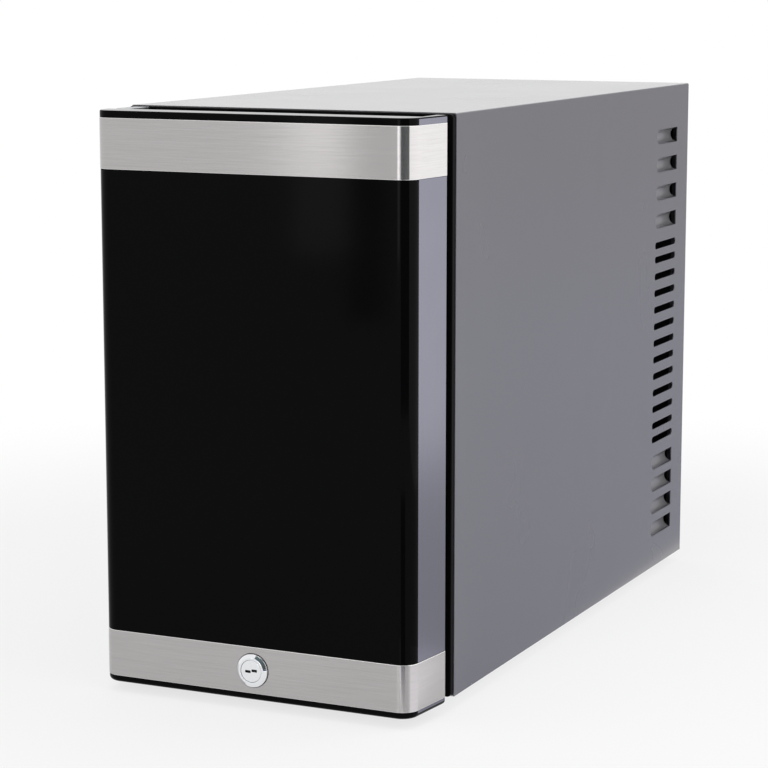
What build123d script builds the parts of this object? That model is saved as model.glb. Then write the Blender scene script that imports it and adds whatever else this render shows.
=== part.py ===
from build123d import *

import os
from math import cos, radians, tan

os.makedirs("parts", exist_ok=True)

# Slim bottle cooler. Millimetres, X to the right, Y to the rear, Z up.
# The origin is on the floor under the middle of the whole cooler.

# Cabinet
cabinet_width = 250.0
cabinet_height = 402.0
cabinet_depth = 495.0
sheet = 0.8
bend_radius = 1.6
rear_return = 12.0
base_flange = 14.0
side_insulation = 26.0
roof_insulation = 24.0
floor_insulation = 40.0
rear_insulation = 30.0
machine_depth = 105.0
flange_setback = 1.0
fit_gap = 0.2
flange_gap = 0.1

# Feet
foot_height = 9.0
foot_radius = 13.0
foot_tip_radius = 10.0
foot_from_side = 32.0
front_foot_setback = 40.0
rear_foot_setback = 45.0
foot_screw_radius = 2.0
foot_screw_head_radius = 4.0
foot_screw_head = 2.5
foot_recess = 4.0
foot_screw_past = 5.0

# Vents on both sides: a column of slots with pressed scoops above and below it
vent_from_rear = 54.0
vent_length = 52.0
vent_height = 190.4
slot_height = 5.5
slot_count = 13
slot_pitch = 13.9
slot_end_pitch = 11.8
scoop_count = 4
scoop_radius = 6.0
scoop_step = 19.8
upper_scoop_pitch = 23.1
lower_scoop_pitch = 19.0

# Front frame and liner
frame_proud = 5.0
frame_inset = 0.5
frame_corner = 3.0
frame_edge = 0.8
frame_skirt = 10.0
frame_skirt_wall = 2.0
liner_wall = 1.6
liner_corner = 8.0
liner_lip = 8.0

# Shelves
shelf_count = 3
shelf_pitch = 82.0
shelf_setback = 14.0
shelf_cover_gap = 7.0
shelf_wall_gap = 1.0
shelf_corner = 12.0
shelf_rod = 2.5
shelf_wire = 1.5
shelf_dip = 6.0
shelf_dip_flat = 24.0
shelf_dip_slope = 12.0
shelf_bend = 8.0
shelf_cross_wires = 4
shelf_seat_gap = 0.3
shelf_head_gap = 1.5
rib_depth = 6.0
rib_height = 4.0

# Door
door_thickness = 47.0
door_gap = 8.7
door_side_inset = 1.0
door_top_drop = 0.6
door_bottom_drop = 2.1
door_flare = 6.3
door_corner = 12.0
door_wall = 2.5
door_opening = 110.0
cap_rim = 5.0
cap_plug = 6.0
cap_plug_wall = 3.0
top_cap_edge = 1.0
bottom_cap_edge = 3.0
top_band_height = 35.2
bottom_band_height = 33.0
band_sheet = 0.7
band_proud = 0.25
band_gap = 0.1
panel_sheet = 2.2
panel_rise = 5.0
panel_margin = 6.0
panel_corner = 10.0
panel_edge = 2.0
gasket_inner = 1.0
gasket_outer = 10.0
gasket_corner = 9.0
gasket_gap = 0.3

# Hinges, on the left
pin_from_side = 10.5
pin_from_rear = 15.0
pin_radius = 3.0
pin_reach = 7.5
pin_play = 0.1
bush_wall = 2.0
bush_boss = 2.5
bracket_sheet = 2.5
bracket_half = 6.0
bracket_height = 36.0
bracket_gap = 0.3
recess_gap = 1.0
screw_gap = 0.1
frame_screw_radius = 2.0
frame_screw_head_radius = 3.4
frame_screw_length = 7.0
hinge_screw_spacing = 16.0
hinge_screw_start = 12.0

# Lock
lock_proud = 3.0
lock_ring_radius = 12.2
lock_bevel = 2.2
lock_bevel_depth = 1.6
barrel_radius = 9.25
barrel_past = 2.9
barrel_gap = 0.2
nut_rim = 2.25
nut_thickness = 2.6
nut_slot = 3.0
nut_lip_gap = 0.7
nut_gasket_gap = 0.3
plug_head_radius = 7.8
plug_head_length = 6.0
plug_radius = 6.0
plug_play = 0.1
plug_recess = 0.3
keyway_length = 9.0
keyway_height = 1.8
keyway_step = 0.9
keyway_depth = 12.0
cam_gap = 0.3
cam_sheet = 2.0
cam_reach = 16.7
cam_half = 6.0
cam_hub = 8.5
tang_side = 8.0
cam_screw_radius = 2.0
cam_screw_head_radius = 4.0
cam_screw_head = 1.7
cam_screw_length = 6.0
keeper_sheet = 1.5
keeper_half = 22.0
keeper_lip_half = 10.0
keeper_height = 10.5
keeper_lip_gap = 0.4
keeper_screw_from_end = 6.0
keeper_screw_height = 5.5

# Cooling unit
block_side = 46.0
module_side = 40.0
module_thickness = 3.9
seal_side = 62.0
fin_pitch = 7.0
fin_count = 12
fin_sheet = 1.6
cold_sink_width = 120.0
cold_sink_height = 100.0
cold_base = 5.0
cold_fin = 14.0
hot_sink_width = 120.0
hot_sink_height = 110.0
hot_base = 6.0
hot_fin = 32.0
clamp_from_side = 8.0
clamp_from_end = 16.0
clamp_radius = 2.0
clamp_head_radius = 3.6
clamp_head = 3.0
cold_fan_side = 80.0
cold_fan_depth = 15.0
cold_fan_holes = 5
hot_fan_side = 92.0
hot_fan_depth = 25.0
hot_fan_holes = 6
fan_corner = 4.0
fan_wall = 2.0
fan_hub_radius = 17.0
fan_hub_sheet = 3.0
fan_strut = 4.0
fan_struts = 4
fan_tip_gap = 1.2
fan_end_gap = 1.0
fan_shaft_radius = 1.5
fan_shaft_play = 0.05
fan_blades = 7
fan_blade_sheet = 1.4
fan_blade_root = 2.0
fan_blade_pitch = 38.0
fan_screw_radius = 1.7
fan_screw_head_radius = 3.2
fan_screw_head = 2.0
cover_width = 150.0
cover_height = 190.0
cover_depth = 38.0
cover_wall = 2.0
cover_corner = 8.0
outlet_length = 18.0
outlet_width = 5.0
outlet_count = 5
outlet_pitch = 26.0
grille_hole = 3.0
grille_step = 9.0
grille_rings = 4
sensor_radius = 3.0
sensor_length = 22.0
sensor_foot = 1.5
sensor_foot_width = 10.0
sensor_x = 86.0
sensor_rise = 40.0

# Rear cover, mains inlet and power board
rear_cover_sheet = 1.2
rear_cover_inset = 2.0
rear_screw_radius = 1.7
rear_screw_head_radius = 3.4
rear_screw_head = 1.6
rear_screw_length = 6.0
rear_screw_from_end = 40.0
intake_length = 34.0
intake_width = 5.0
intake_count = 7
intake_pitch = 12.0
intake_x = -40.0
intake_height = 70.0
inlet_x = 75.0
inlet_height = 52.0
inlet_flange = 2.4
inlet_flange_width = 36.0
inlet_flange_height = 28.0
inlet_flange_corner = 3.0
inlet_width = 24.2
inlet_opening = 16.2
inlet_wall = 1.8
inlet_depth = 22.0
inlet_floor = 4.0
inlet_chamfer = 4.5
inlet_pin_width = 2.0
inlet_pin_height = 4.0
inlet_pin_length = 14.0
inlet_pin_spacing = 14.0
inlet_live_drop = 1.0
inlet_earth_rise = 3.0
board_width = 130.0
board_depth = 70.0
board_sheet = 1.6
board_x = -20.0
board_post = 6.0
board_post_radius = 4.0
board_post_inset = 6.0
transformer_width = 36.0
transformer_depth = 32.0
transformer_height = 28.0
transformer_core = 10.0
transformer_core_proud = 4.0
transformer_x = -50.0
capacitor_radius = 8.0
capacitor_height = 26.0
capacitor_edge = 1.0
capacitor_spacing = 20.0
capacitor_x = 0.0
capacitor_y = -12.0
lead_radius = 2.2
lead_bend = 9.0
lead_reach = 20.0
mains_lead_x = 30.0
module_lead_x = -75.0
module_lead_drop = 14.0
module_lead_reach = 30.0
fan_lead_x = 16.0
fan_lead_jog = 14.0
fan_lead_drop = 36.0

# Lamp and control housing on the ceiling
housing_width = 124.0
housing_depth = 60.0
housing_height = 15.0
housing_wall = 1.8
housing_corner = 4.0
housing_setback = 10.0
lens_width = 70.0
lens_depth = 24.0
lens_setback = 24.0
lens_flange = 3.0
lens_flange_sheet = 1.2
button_names = ["button_down", "button_lamp", "button_up"]
button_pitch = 20.0
button_radius = 4.0
button_play = 0.25
button_proud = 1.6
button_flange = 1.2
button_flange_sheet = 1.2
button_travel = 1.0
button_end_gap = 0.2
button_stem_radius = 1.5
control_board_setback = 7.0
control_board_sheet = 1.6
control_board_width = 104.0
switch_side = 6.0
switch_depth = 3.4

# Heights worked out from the sizes above
z_base = foot_height
z_top = z_base + cabinet_height
z_floor = z_base + sheet
z_roof = z_top - sheet
cabinet_centre = z_base + cabinet_height / 2
mouth_low = z_floor + floor_insulation + liner_wall
mouth_high = z_roof - roof_insulation - liner_wall
mouth_height = mouth_high - mouth_low
mouth_centre = (mouth_low + mouth_high) / 2
mouth_width = cabinet_width - 2 * (sheet + side_insulation + liner_wall)
z_door_low = z_base - door_bottom_drop
z_door_high = z_top - door_top_drop
z_skin_low = z_door_low + cap_rim
z_skin_high = z_door_high - cap_rim
lock_z = z_skin_low + bottom_band_height / 2
nut_radius = barrel_radius + nut_rim

# Depths, from the lock's face to the mains inlet's face
rear_proud = rear_cover_sheet + inlet_flange
overall_depth = lock_proud + door_thickness + door_gap + frame_proud + cabinet_depth + rear_proud
y_door = lock_proud - overall_depth / 2
y_door_rear = y_door + door_thickness
y_frame = y_door_rear + door_gap
y_cab = y_frame + frame_proud
y_cab_rear = y_cab + cabinet_depth
y_cover_rear = y_cab_rear + rear_cover_sheet
y_bulk_rear = y_cab_rear - machine_depth
y_bulk = y_bulk_rear - sheet
y_liner_rear = y_bulk - rear_insulation
y_cavity = y_liner_rear - liner_wall

# Half widths, and the hinge line
inner_half = cabinet_width / 2 - sheet
foam_half = inner_half - sheet - flange_gap
mouth_half = mouth_width / 2
door_half = cabinet_width / 2 - door_side_inset
pin_x = pin_from_side - door_half
pin_y = y_door_rear - pin_from_rear

# Repeated places
slot_run = (slot_count - 3) / 2 * slot_pitch
slot_offsets = [n * slot_pitch - slot_run for n in range(slot_count - 2)]
slot_reach = slot_run + slot_end_pitch
vent_z = z_base + vent_height
slot_levels = [vent_z - slot_reach, *[vent_z + offset for offset in slot_offsets], vent_z + slot_reach]
upper_scoops = [vent_z + slot_reach + scoop_step + n * upper_scoop_pitch for n in range(scoop_count)]
lower_scoops = [vent_z - slot_reach - scoop_step - n * lower_scoop_pitch for n in range(scoop_count)]
vent_y = y_cab_rear - vent_from_rear
foot_rows = (y_cab + front_foot_setback, y_cab_rear - rear_foot_setback)
foot_column = cabinet_width / 2 - foot_from_side
foot_places = [(side * foot_column, y) for side in (-1, 1) for y in foot_rows]
shelf_levels = [mouth_low + (n + 1) * shelf_pitch for n in range(shelf_count)]
shelf_front = y_cab + shelf_setback
shelf_back = y_cavity - cover_depth - shelf_cover_gap
clamp_x = hot_sink_width / 2 - clamp_from_side
clamp_z = cold_sink_height / 2 - clamp_from_end
clamp_places = [(x, mouth_centre + z) for x in (-clamp_x, clamp_x) for z in (-clamp_z, clamp_z)]
cover_column = inner_half - rear_return / 2
cover_rows = (z_base + rear_screw_from_end, cabinet_centre, z_top - rear_screw_from_end)
cover_screws = [(side * cover_column, z) for side in (-1, 1) for z in cover_rows]
cover_screws += [(0, z_roof - rear_return / 2), (0, z_floor + base_flange / 2)]
board_y = y_bulk_rear + machine_depth / 2
board_x_reach = board_width / 2 - board_post_inset
board_y_reach = board_depth / 2 - board_post_inset
z_board = z_floor + board_post
z_board_top = z_board + board_sheet
inlet_z = z_base + inlet_height
grille_holes = [(0, 1)] + [(ring * grille_step, 6 * ring) for ring in range(1, grille_rings + 1)]
button_places = [(n - 1) * button_pitch for n in range(len(button_names))]

# Depths of the cooling unit, front to back
y_cold_fins = y_cavity - cold_base - cold_fin
y_cold_fan = y_cold_fins - cold_fan_depth
y_cover = y_cavity - cover_depth
y_hot_fins = y_bulk_rear + hot_base + hot_fin
y_hot_fan_rear = y_hot_fins + hot_fan_depth
y_module = y_bulk_rear - module_thickness


def across(y):
    """Upright plane at depth y, facing forward: its x is X and its y is Z."""
    return Plane(origin=(0, y, 0), x_dir=(1, 0, 0), z_dir=(0, -1, 0))


def door_outline(inset, rear):
    """Plan of the door, set in from its front and flanks, with its flanks flaring towards the rear."""
    slope = tan(radians(door_flare))
    side_step = inset / cos(radians(door_flare))
    front = y_door + inset
    front_half = door_half - (y_door_rear - front) * slope - side_step
    rear_half = door_half - (y_door_rear - rear) * slope - side_step
    with BuildSketch() as outline:
        with BuildLine():
            Polyline((-rear_half, rear), (-front_half, front), (front_half, front), (rear_half, rear),
                     close=True)
        make_face()
        fillet(outline.vertices().group_by(Axis.Y)[0], door_corner - inset)
    return outline.sketch


def save(piece, name):
    """Label a finished piece and write it."""
    piece.part.label = name
    export_step(piece.part, f"parts/{name}.step")


def screws(places, y_head, reach, shank, head, head_height):
    """Pan head screws seated on the upright plane y_head, with their shanks pointing forward."""
    with BuildPart() as group:
        with BuildSketch(across(y_head)):
            with Locations(*places):
                Circle(head)
        extrude(amount=-head_height)
        with BuildSketch(across(y_head)):
            with Locations(*places):
                Circle(shank)
        extrude(amount=reach)
    return group


# Cabinet sheet: roof and both sides folded from one sheet, with a narrow return at the rear
with BuildPart() as cabinet_sheet:
    with BuildSketch(across(y_cab_rear)) as wrap:
        with Locations((0, cabinet_centre)):
            Rectangle(cabinet_width, cabinet_height)
        fillet(wrap.vertices().group_by(Axis.Y)[-1], bend_radius)
    extrude(amount=cabinet_depth)
    with BuildSketch(across(y_cab_rear - sheet)) as hollow:
        with Locations((0, cabinet_centre - sheet / 2)):
            Rectangle(2 * inner_half, cabinet_height - sheet)
        fillet(hollow.vertices().group_by(Axis.Y)[-1], bend_radius - sheet)
    extrude(amount=cabinet_depth, mode=Mode.SUBTRACT)
    with BuildSketch(across(y_cab_rear)):
        with Locations((0, cabinet_centre - (sheet + rear_return) / 2)):
            Rectangle(2 * (inner_half - rear_return), cabinet_height - sheet - rear_return)
    extrude(amount=sheet, mode=Mode.SUBTRACT)
    with BuildSketch(across(y_cab_rear)):
        with Locations(*cover_screws):
            Circle(rear_screw_radius + screw_gap)
    extrude(amount=sheet, mode=Mode.SUBTRACT)
    with BuildSketch(Plane.YZ):
        with Locations(*[(vent_y, level) for level in slot_levels]):
            SlotOverall(vent_length, slot_height)
    extrude(amount=cabinet_width, both=True, mode=Mode.SUBTRACT)
    for side in (-1, 1):
        for level in upper_scoops + lower_scoops:
            scoop_axis = Axis((side * cabinet_width / 2, 0, level), (0, -side, 0))
            nose_y = vent_y - vent_length / 2 + scoop_radius
            tail_y = vent_y + vent_length / 2
            for radius, mode in ((scoop_radius + sheet, Mode.ADD), (scoop_radius, Mode.SUBTRACT)):
                with BuildSketch(Plane.YZ.offset(side * cabinet_width / 2)):
                    with BuildLine():
                        CenterArc((nose_y, level), radius, 90, 90)
                        Polyline((nose_y, level + radius), (tail_y, level + radius), (tail_y, level))
                        Line((tail_y, level), (nose_y - radius, level))
                    make_face()
                revolve(axis=scoop_axis, revolution_arc=180, mode=mode)
save(cabinet_sheet, "cabinet_sheet")

# Base plate: tray with upturned sides and rear, and four posts for the power board
with BuildPart() as base_plate:
    with BuildSketch(Plane.XY.offset(z_base)):
        with Locations((0, (y_cab + y_cab_rear - sheet) / 2)):
            Rectangle(2 * inner_half, cabinet_depth - sheet)
    extrude(amount=sheet)
    flange_front = y_cab + frame_skirt + flange_setback
    flange_rear = y_cab_rear - sheet
    with BuildSketch(Plane.XY.offset(z_floor)):
        for side in (-1, 1):
            with Locations((side * (inner_half - sheet / 2), (flange_front + flange_rear) / 2)):
                Rectangle(sheet, flange_rear - flange_front)
        with Locations((0, flange_rear - sheet / 2)):
            Rectangle(2 * inner_half, sheet)
    extrude(amount=base_flange)
    with BuildSketch(Plane.XY.offset(z_floor)):
        with Locations((board_x, board_y)):
            with GridLocations(2 * board_x_reach, 2 * board_y_reach, 2, 2):
                Circle(board_post_radius)
    extrude(amount=board_post)
    with BuildSketch(Plane.XY.offset(z_base)):
        with Locations(*foot_places):
            Circle(foot_screw_radius + screw_gap)
    extrude(amount=sheet, mode=Mode.SUBTRACT)
    with BuildSketch(across(flange_rear)):
        with Locations(cover_screws[-1]):
            Circle(rear_screw_radius + screw_gap)
    extrude(amount=sheet, mode=Mode.SUBTRACT)
save(base_plate, "base_plate")

# Feet: tapered rubber with a recess for the screw head
with BuildPart() as feet:
    for place in foot_places:
        with Locations((*place, 0)):
            Cone(foot_tip_radius, foot_radius, foot_height, align=(Align.CENTER, Align.CENTER, Align.MIN))
    with BuildSketch():
        with Locations(*foot_places):
            Circle(foot_screw_head_radius + fit_gap)
    extrude(amount=foot_recess, mode=Mode.SUBTRACT)
    with BuildSketch():
        with Locations(*foot_places):
            Circle(foot_screw_radius + screw_gap)
    extrude(amount=foot_height, mode=Mode.SUBTRACT)
save(feet, "feet")

with BuildPart() as foot_screws:
    with BuildSketch(Plane.XY.offset(foot_recess)):
        with Locations(*foot_places):
            Circle(foot_screw_head_radius)
    extrude(amount=-foot_screw_head)
    with BuildSketch(Plane.XY.offset(foot_recess)):
        with Locations(*foot_places):
            Circle(foot_screw_radius)
    extrude(amount=z_floor + foot_screw_past - foot_recess)
save(foot_screws, "foot_screws")

# Places of the countersunk screws in the front frame: two in each hinge bracket and two in the keeper
z_bracket_top = z_door_high - bracket_gap
z_bracket_bottom = z_door_low + bracket_gap
keeper_low = z_base + frame_inset
hinge_screw_steps = (hinge_screw_start, hinge_screw_start + hinge_screw_spacing)
hinge_screw_places = [(pin_x, z_bracket_top - step) for step in hinge_screw_steps]
hinge_screw_places += [(pin_x, z_bracket_bottom + step) for step in hinge_screw_steps]
keeper_screw_x = keeper_half - keeper_screw_from_end
keeper_screw_places = [(side * keeper_screw_x, keeper_low + keeper_screw_height) for side in (-1, 1)]
frame_screw_head = frame_screw_head_radius - frame_screw_radius
frame_hole = frame_screw_radius + screw_gap

# Front frame: black collar round the mouth, with a skirt inside the cabinet sheet
with BuildPart() as front_frame:
    with BuildSketch(across(y_cab)):
        with Locations((0, cabinet_centre)):
            RectangleRounded(cabinet_width - 2 * frame_inset, cabinet_height - 2 * frame_inset, frame_corner)
    extrude(amount=frame_proud)
    fillet(front_frame.faces().sort_by(Axis.Y)[0].edges(), frame_edge)
    skirt_low = z_floor + fit_gap
    skirt_high = z_roof - fit_gap
    skirt_width = 2 * (inner_half - fit_gap)
    skirt_step = 2 * frame_skirt_wall
    with BuildSketch(across(y_cab + frame_skirt)):
        with Locations((0, (skirt_low + skirt_high) / 2)):
            RectangleRounded(skirt_width, skirt_high - skirt_low, frame_corner)
            RectangleRounded(skirt_width - skirt_step, skirt_high - skirt_low - skirt_step,
                             frame_corner - frame_skirt_wall, mode=Mode.SUBTRACT)
    extrude(amount=frame_skirt)
    with BuildSketch(across(y_cab)):
        with Locations((0, mouth_centre)):
            RectangleRounded(mouth_width, mouth_height, liner_corner)
        with Locations(*hinge_screw_places, *keeper_screw_places):
            Circle(frame_hole)
    extrude(amount=frame_proud, mode=Mode.SUBTRACT)
save(front_frame, "front_frame")

# Inner liner: open box with a lip behind the frame and two ribs a side for each shelf
rib_lower = shelf_rod + shelf_seat_gap + rib_height / 2
rib_upper = shelf_rod + shelf_head_gap + rib_height / 2
rib_levels = [level + step for level in shelf_levels for step in (-rib_lower, rib_upper)]
with BuildPart() as inner_liner:
    with BuildSketch(across(y_liner_rear)):
        with Locations((0, mouth_centre)):
            RectangleRounded(mouth_width + 2 * liner_wall, mouth_height + 2 * liner_wall,
                             liner_corner + liner_wall)
    extrude(amount=y_liner_rear - y_cab)
    lip_step = 2 * (liner_wall + liner_lip)
    with BuildSketch(across(y_cab + liner_wall)):
        with Locations((0, mouth_centre)):
            RectangleRounded(mouth_width + lip_step, mouth_height + lip_step, liner_corner + lip_step / 2)
    extrude(amount=liner_wall)
    with BuildSketch(across(y_cavity)):
        with Locations((0, mouth_centre)):
            RectangleRounded(mouth_width, mouth_height, liner_corner)
    extrude(amount=y_cavity - y_cab, mode=Mode.SUBTRACT)
    with BuildSketch(across(shelf_back)):
        for side in (-1, 1):
            rib_x = side * (mouth_half + (liner_wall - rib_depth) / 2)
            with Locations(*[(rib_x, level) for level in rib_levels]):
                Rectangle(rib_depth + liner_wall, rib_height)
    extrude(amount=shelf_back - shelf_front)
    with BuildSketch(across(y_liner_rear)):
        with Locations((0, mouth_centre)):
            Rectangle(block_side + 2 * fit_gap, block_side + 2 * fit_gap)
        with Locations(*clamp_places):
            Circle(clamp_radius + fit_gap)
    extrude(amount=liner_wall, mode=Mode.SUBTRACT)
save(inner_liner, "inner_liner")

# Insulation between the liner and the cabinet
foam_front = y_cab + frame_skirt + fit_gap
with BuildPart() as insulation:
    with BuildSketch(across(y_bulk)) as foam_block:
        with Locations((0, (z_floor + z_roof - flange_gap) / 2)):
            Rectangle(2 * foam_half, z_roof - flange_gap - z_floor)
        fillet(foam_block.vertices().group_by(Axis.Y)[-1], bend_radius)
    extrude(amount=y_bulk - foam_front)
    foam_step = 2 * (liner_wall + fit_gap)
    with BuildSketch(across(y_liner_rear)):
        with Locations((0, mouth_centre)):
            RectangleRounded(mouth_width + foam_step, mouth_height + foam_step, liner_corner + foam_step / 2)
    extrude(amount=y_liner_rear - foam_front, mode=Mode.SUBTRACT)
    with BuildSketch(across(y_bulk)):
        with Locations((0, mouth_centre)):
            Rectangle(seal_side, seal_side)
        with Locations(*clamp_places):
            Circle(clamp_radius + fit_gap)
    extrude(amount=rear_insulation, mode=Mode.SUBTRACT)
    with BuildSketch(Plane.XY.offset(z_floor)):
        with Locations(*foot_places):
            Circle(foot_screw_radius + fit_gap)
    extrude(amount=foot_screw_past + fit_gap, mode=Mode.SUBTRACT)
save(insulation, "insulation")

# Bulkhead between the insulation and the machine space
with BuildPart() as rear_bulkhead:
    with BuildSketch(across(y_bulk_rear)) as bulkhead_plate:
        with Locations((0, (z_floor + z_roof - flange_gap) / 2)):
            Rectangle(2 * foam_half, z_roof - flange_gap - z_floor)
        fillet(bulkhead_plate.vertices().group_by(Axis.Y)[-1], bend_radius)
        with Locations((0, mouth_centre)):
            Rectangle(seal_side, seal_side, mode=Mode.SUBTRACT)
        with Locations(*clamp_places):
            Circle(clamp_radius + fit_gap, mode=Mode.SUBTRACT)
    extrude(amount=sheet)
save(rear_bulkhead, "rear_bulkhead")

# Rear cover: flat plate with a round fan grille, an intake row and the mains inlet's opening
with BuildPart() as rear_cover:
    with BuildSketch(across(y_cover_rear)):
        with Locations((0, cabinet_centre)):
            RectangleRounded(cabinet_width - 2 * rear_cover_inset, cabinet_height - 2 * rear_cover_inset,
                             frame_corner)
        for radius, count in grille_holes:
            with Locations((0, mouth_centre)):
                with PolarLocations(radius, count):
                    Circle(grille_hole, mode=Mode.SUBTRACT)
        with Locations((intake_x, z_base + intake_height)):
            with GridLocations(intake_pitch, 0, intake_count, 1):
                SlotOverall(intake_length, intake_width, rotation=90, mode=Mode.SUBTRACT)
        with Locations((inlet_x, inlet_z)):
            Rectangle(inlet_width + 2 * (inlet_wall + fit_gap), inlet_opening + 2 * (inlet_wall + fit_gap),
                      mode=Mode.SUBTRACT)
        with Locations(*cover_screws):
            Circle(rear_screw_radius + screw_gap, mode=Mode.SUBTRACT)
    extrude(amount=rear_cover_sheet)
save(rear_cover, "rear_cover")

rear_cover_screws = screws(cover_screws, y_cover_rear, rear_screw_length, rear_screw_radius,
                           rear_screw_head_radius, rear_screw_head)
save(rear_cover_screws, "rear_cover_screws")

# Mains inlet: snap-in socket with three blades
with BuildPart() as inlet_body:
    with BuildSketch(across(y_cover_rear)):
        with Locations((inlet_x, inlet_z)):
            Rectangle(inlet_width + 2 * inlet_wall, inlet_opening + 2 * inlet_wall)
    extrude(amount=inlet_depth)
    with BuildSketch(across(y_cover_rear + inlet_flange)):
        with Locations((inlet_x, inlet_z)):
            RectangleRounded(inlet_flange_width, inlet_flange_height, inlet_flange_corner)
    extrude(amount=inlet_flange)
    with BuildSketch(across(y_cover_rear + inlet_flange)) as socket:
        with Locations((inlet_x, inlet_z)):
            Rectangle(inlet_width, inlet_opening)
        chamfer(socket.vertices().group_by(Axis.Y)[-1], inlet_chamfer)
    extrude(amount=inlet_depth + inlet_flange - inlet_floor, mode=Mode.SUBTRACT)
    pin_places = [(inlet_x + side * inlet_pin_spacing / 2, inlet_z - inlet_live_drop) for side in (-1, 1)]
    pin_places += [(inlet_x, inlet_z + inlet_earth_rise)]
    with BuildSketch(across(y_cover_rear)):
        with Locations(*pin_places):
            Rectangle(inlet_pin_width + 2 * screw_gap, inlet_pin_height + 2 * screw_gap)
    extrude(amount=inlet_depth, mode=Mode.SUBTRACT)
save(inlet_body, "inlet_body")

with BuildPart() as inlet_pins:
    with BuildSketch(across(y_cover_rear - inlet_depth + inlet_floor + inlet_pin_length)):
        with Locations(*pin_places):
            Rectangle(inlet_pin_width, inlet_pin_height)
    extrude(amount=inlet_floor + inlet_pin_length)
save(inlet_pins, "inlet_pins")

# Power board with its transformer and capacitors, standing on the base plate's posts
with BuildPart() as power_board:
    with BuildSketch(Plane.XY.offset(z_board)):
        with Locations((board_x, board_y)):
            Rectangle(board_width, board_depth)
    extrude(amount=board_sheet)
save(power_board, "power_board")

with BuildPart() as board_transformer:
    with BuildSketch(Plane.XY.offset(z_board_top)):
        with Locations((transformer_x, board_y)):
            Rectangle(transformer_width, transformer_depth)
    extrude(amount=transformer_height)
    with BuildSketch(Plane.XY.offset(z_board_top + (transformer_height - transformer_core) / 2)):
        with Locations((transformer_x, board_y)):
            Rectangle(transformer_width + 2 * transformer_core_proud,
                      transformer_depth + 2 * transformer_core_proud)
    extrude(amount=transformer_core)
save(board_transformer, "board_transformer")

with BuildPart() as board_capacitors:
    with BuildSketch(Plane.XY.offset(z_board_top)):
        with Locations((capacitor_x, board_y + capacitor_y)):
            with GridLocations(capacitor_spacing, 0, 2, 1):
                Circle(capacitor_radius)
    extrude(amount=capacitor_height)
    fillet(board_capacitors.faces().group_by(Axis.Z)[-1].edges(), capacitor_edge)
save(board_capacitors, "board_capacitors")

# Cold side: finned sink, block through the insulation, module and its seal
def finned_sink(y_base, base, fin, width, height, holes, forward):
    """Finned plate on the upright plane y_base, its fins to the front (forward is 1) or the rear (-1)."""
    with BuildPart() as sink:
        with BuildSketch(across(y_base)):
            with Locations((0, mouth_centre)):
                Rectangle(width, height)
            with Locations(*clamp_places):
                Circle(clamp_radius + screw_gap, mode=Mode.SUBTRACT)
            with Locations(*holes):
                Circle(fan_screw_radius + screw_gap, mode=Mode.SUBTRACT)
        extrude(amount=forward * base)
        with BuildSketch(across(y_base - forward * base)):
            with Locations((0, mouth_centre)):
                with GridLocations(fin_pitch, 0, fin_count, 1):
                    Rectangle(fin_sheet, height)
        extrude(amount=forward * fin)
    return sink


def fan_holes(steps):
    """Four screw places round the cooling unit's axis, in the gaps between fins."""
    reach = steps * fin_pitch
    return [(x, mouth_centre + z) for x in (-reach, reach) for z in (-reach, reach)]


cold_sink = finned_sink(y_cavity, cold_base, cold_fin, cold_sink_width, cold_sink_height,
                        fan_holes(cold_fan_holes), 1)
save(cold_sink, "cold_sink")
hot_sink = finned_sink(y_bulk_rear, hot_base, hot_fin, hot_sink_width, hot_sink_height,
                       fan_holes(hot_fan_holes), -1)
save(hot_sink, "hot_sink")

with BuildPart() as cold_block:
    with BuildSketch(across(y_module)):
        with Locations((0, mouth_centre)):
            Rectangle(block_side, block_side)
    extrude(amount=y_module - y_cavity)
save(cold_block, "cold_block")

with BuildPart() as peltier_module:
    with BuildSketch(across(y_bulk_rear)):
        with Locations((0, mouth_centre)):
            Rectangle(module_side, module_side)
    extrude(amount=module_thickness)
save(peltier_module, "peltier_module")

with BuildPart() as module_seal:
    with BuildSketch(across(y_bulk_rear)):
        with Locations((0, mouth_centre)):
            Rectangle(seal_side - 2 * fit_gap, seal_side - 2 * fit_gap)
            Rectangle(block_side + 2 * fit_gap, block_side + 2 * fit_gap, mode=Mode.SUBTRACT)
    extrude(amount=y_bulk_rear - y_liner_rear)
save(module_seal, "module_seal")

clamp_screws = screws(clamp_places, y_bulk_rear + hot_base, y_bulk_rear + hot_base - y_cavity + cold_base,
                      clamp_radius, clamp_head_radius, clamp_head)
save(clamp_screws, "clamp_screws")


# Fans
def fan_frame(y_front, depth, side, holes):
    """Square fan frame with a round duct, and a motor plate on struts at its rear."""
    with BuildPart() as frame:
        with BuildSketch(across(y_front + depth)):
            with Locations((0, mouth_centre)):
                RectangleRounded(side, side, fan_corner)
                Circle(side / 2 - fan_wall, mode=Mode.SUBTRACT)
            with Locations(*holes):
                Circle(fan_screw_radius + fit_gap, mode=Mode.SUBTRACT)
        extrude(amount=depth)
        with BuildSketch(across(y_front + depth)):
            with Locations((0, mouth_centre)):
                Circle(fan_hub_radius)
                with PolarLocations(0, fan_struts // 2, 0, 180):
                    Rectangle(side - fan_wall, fan_strut)
                Circle(fan_shaft_radius + fan_shaft_play, mode=Mode.SUBTRACT)
        extrude(amount=fan_hub_sheet)
    return frame


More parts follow.
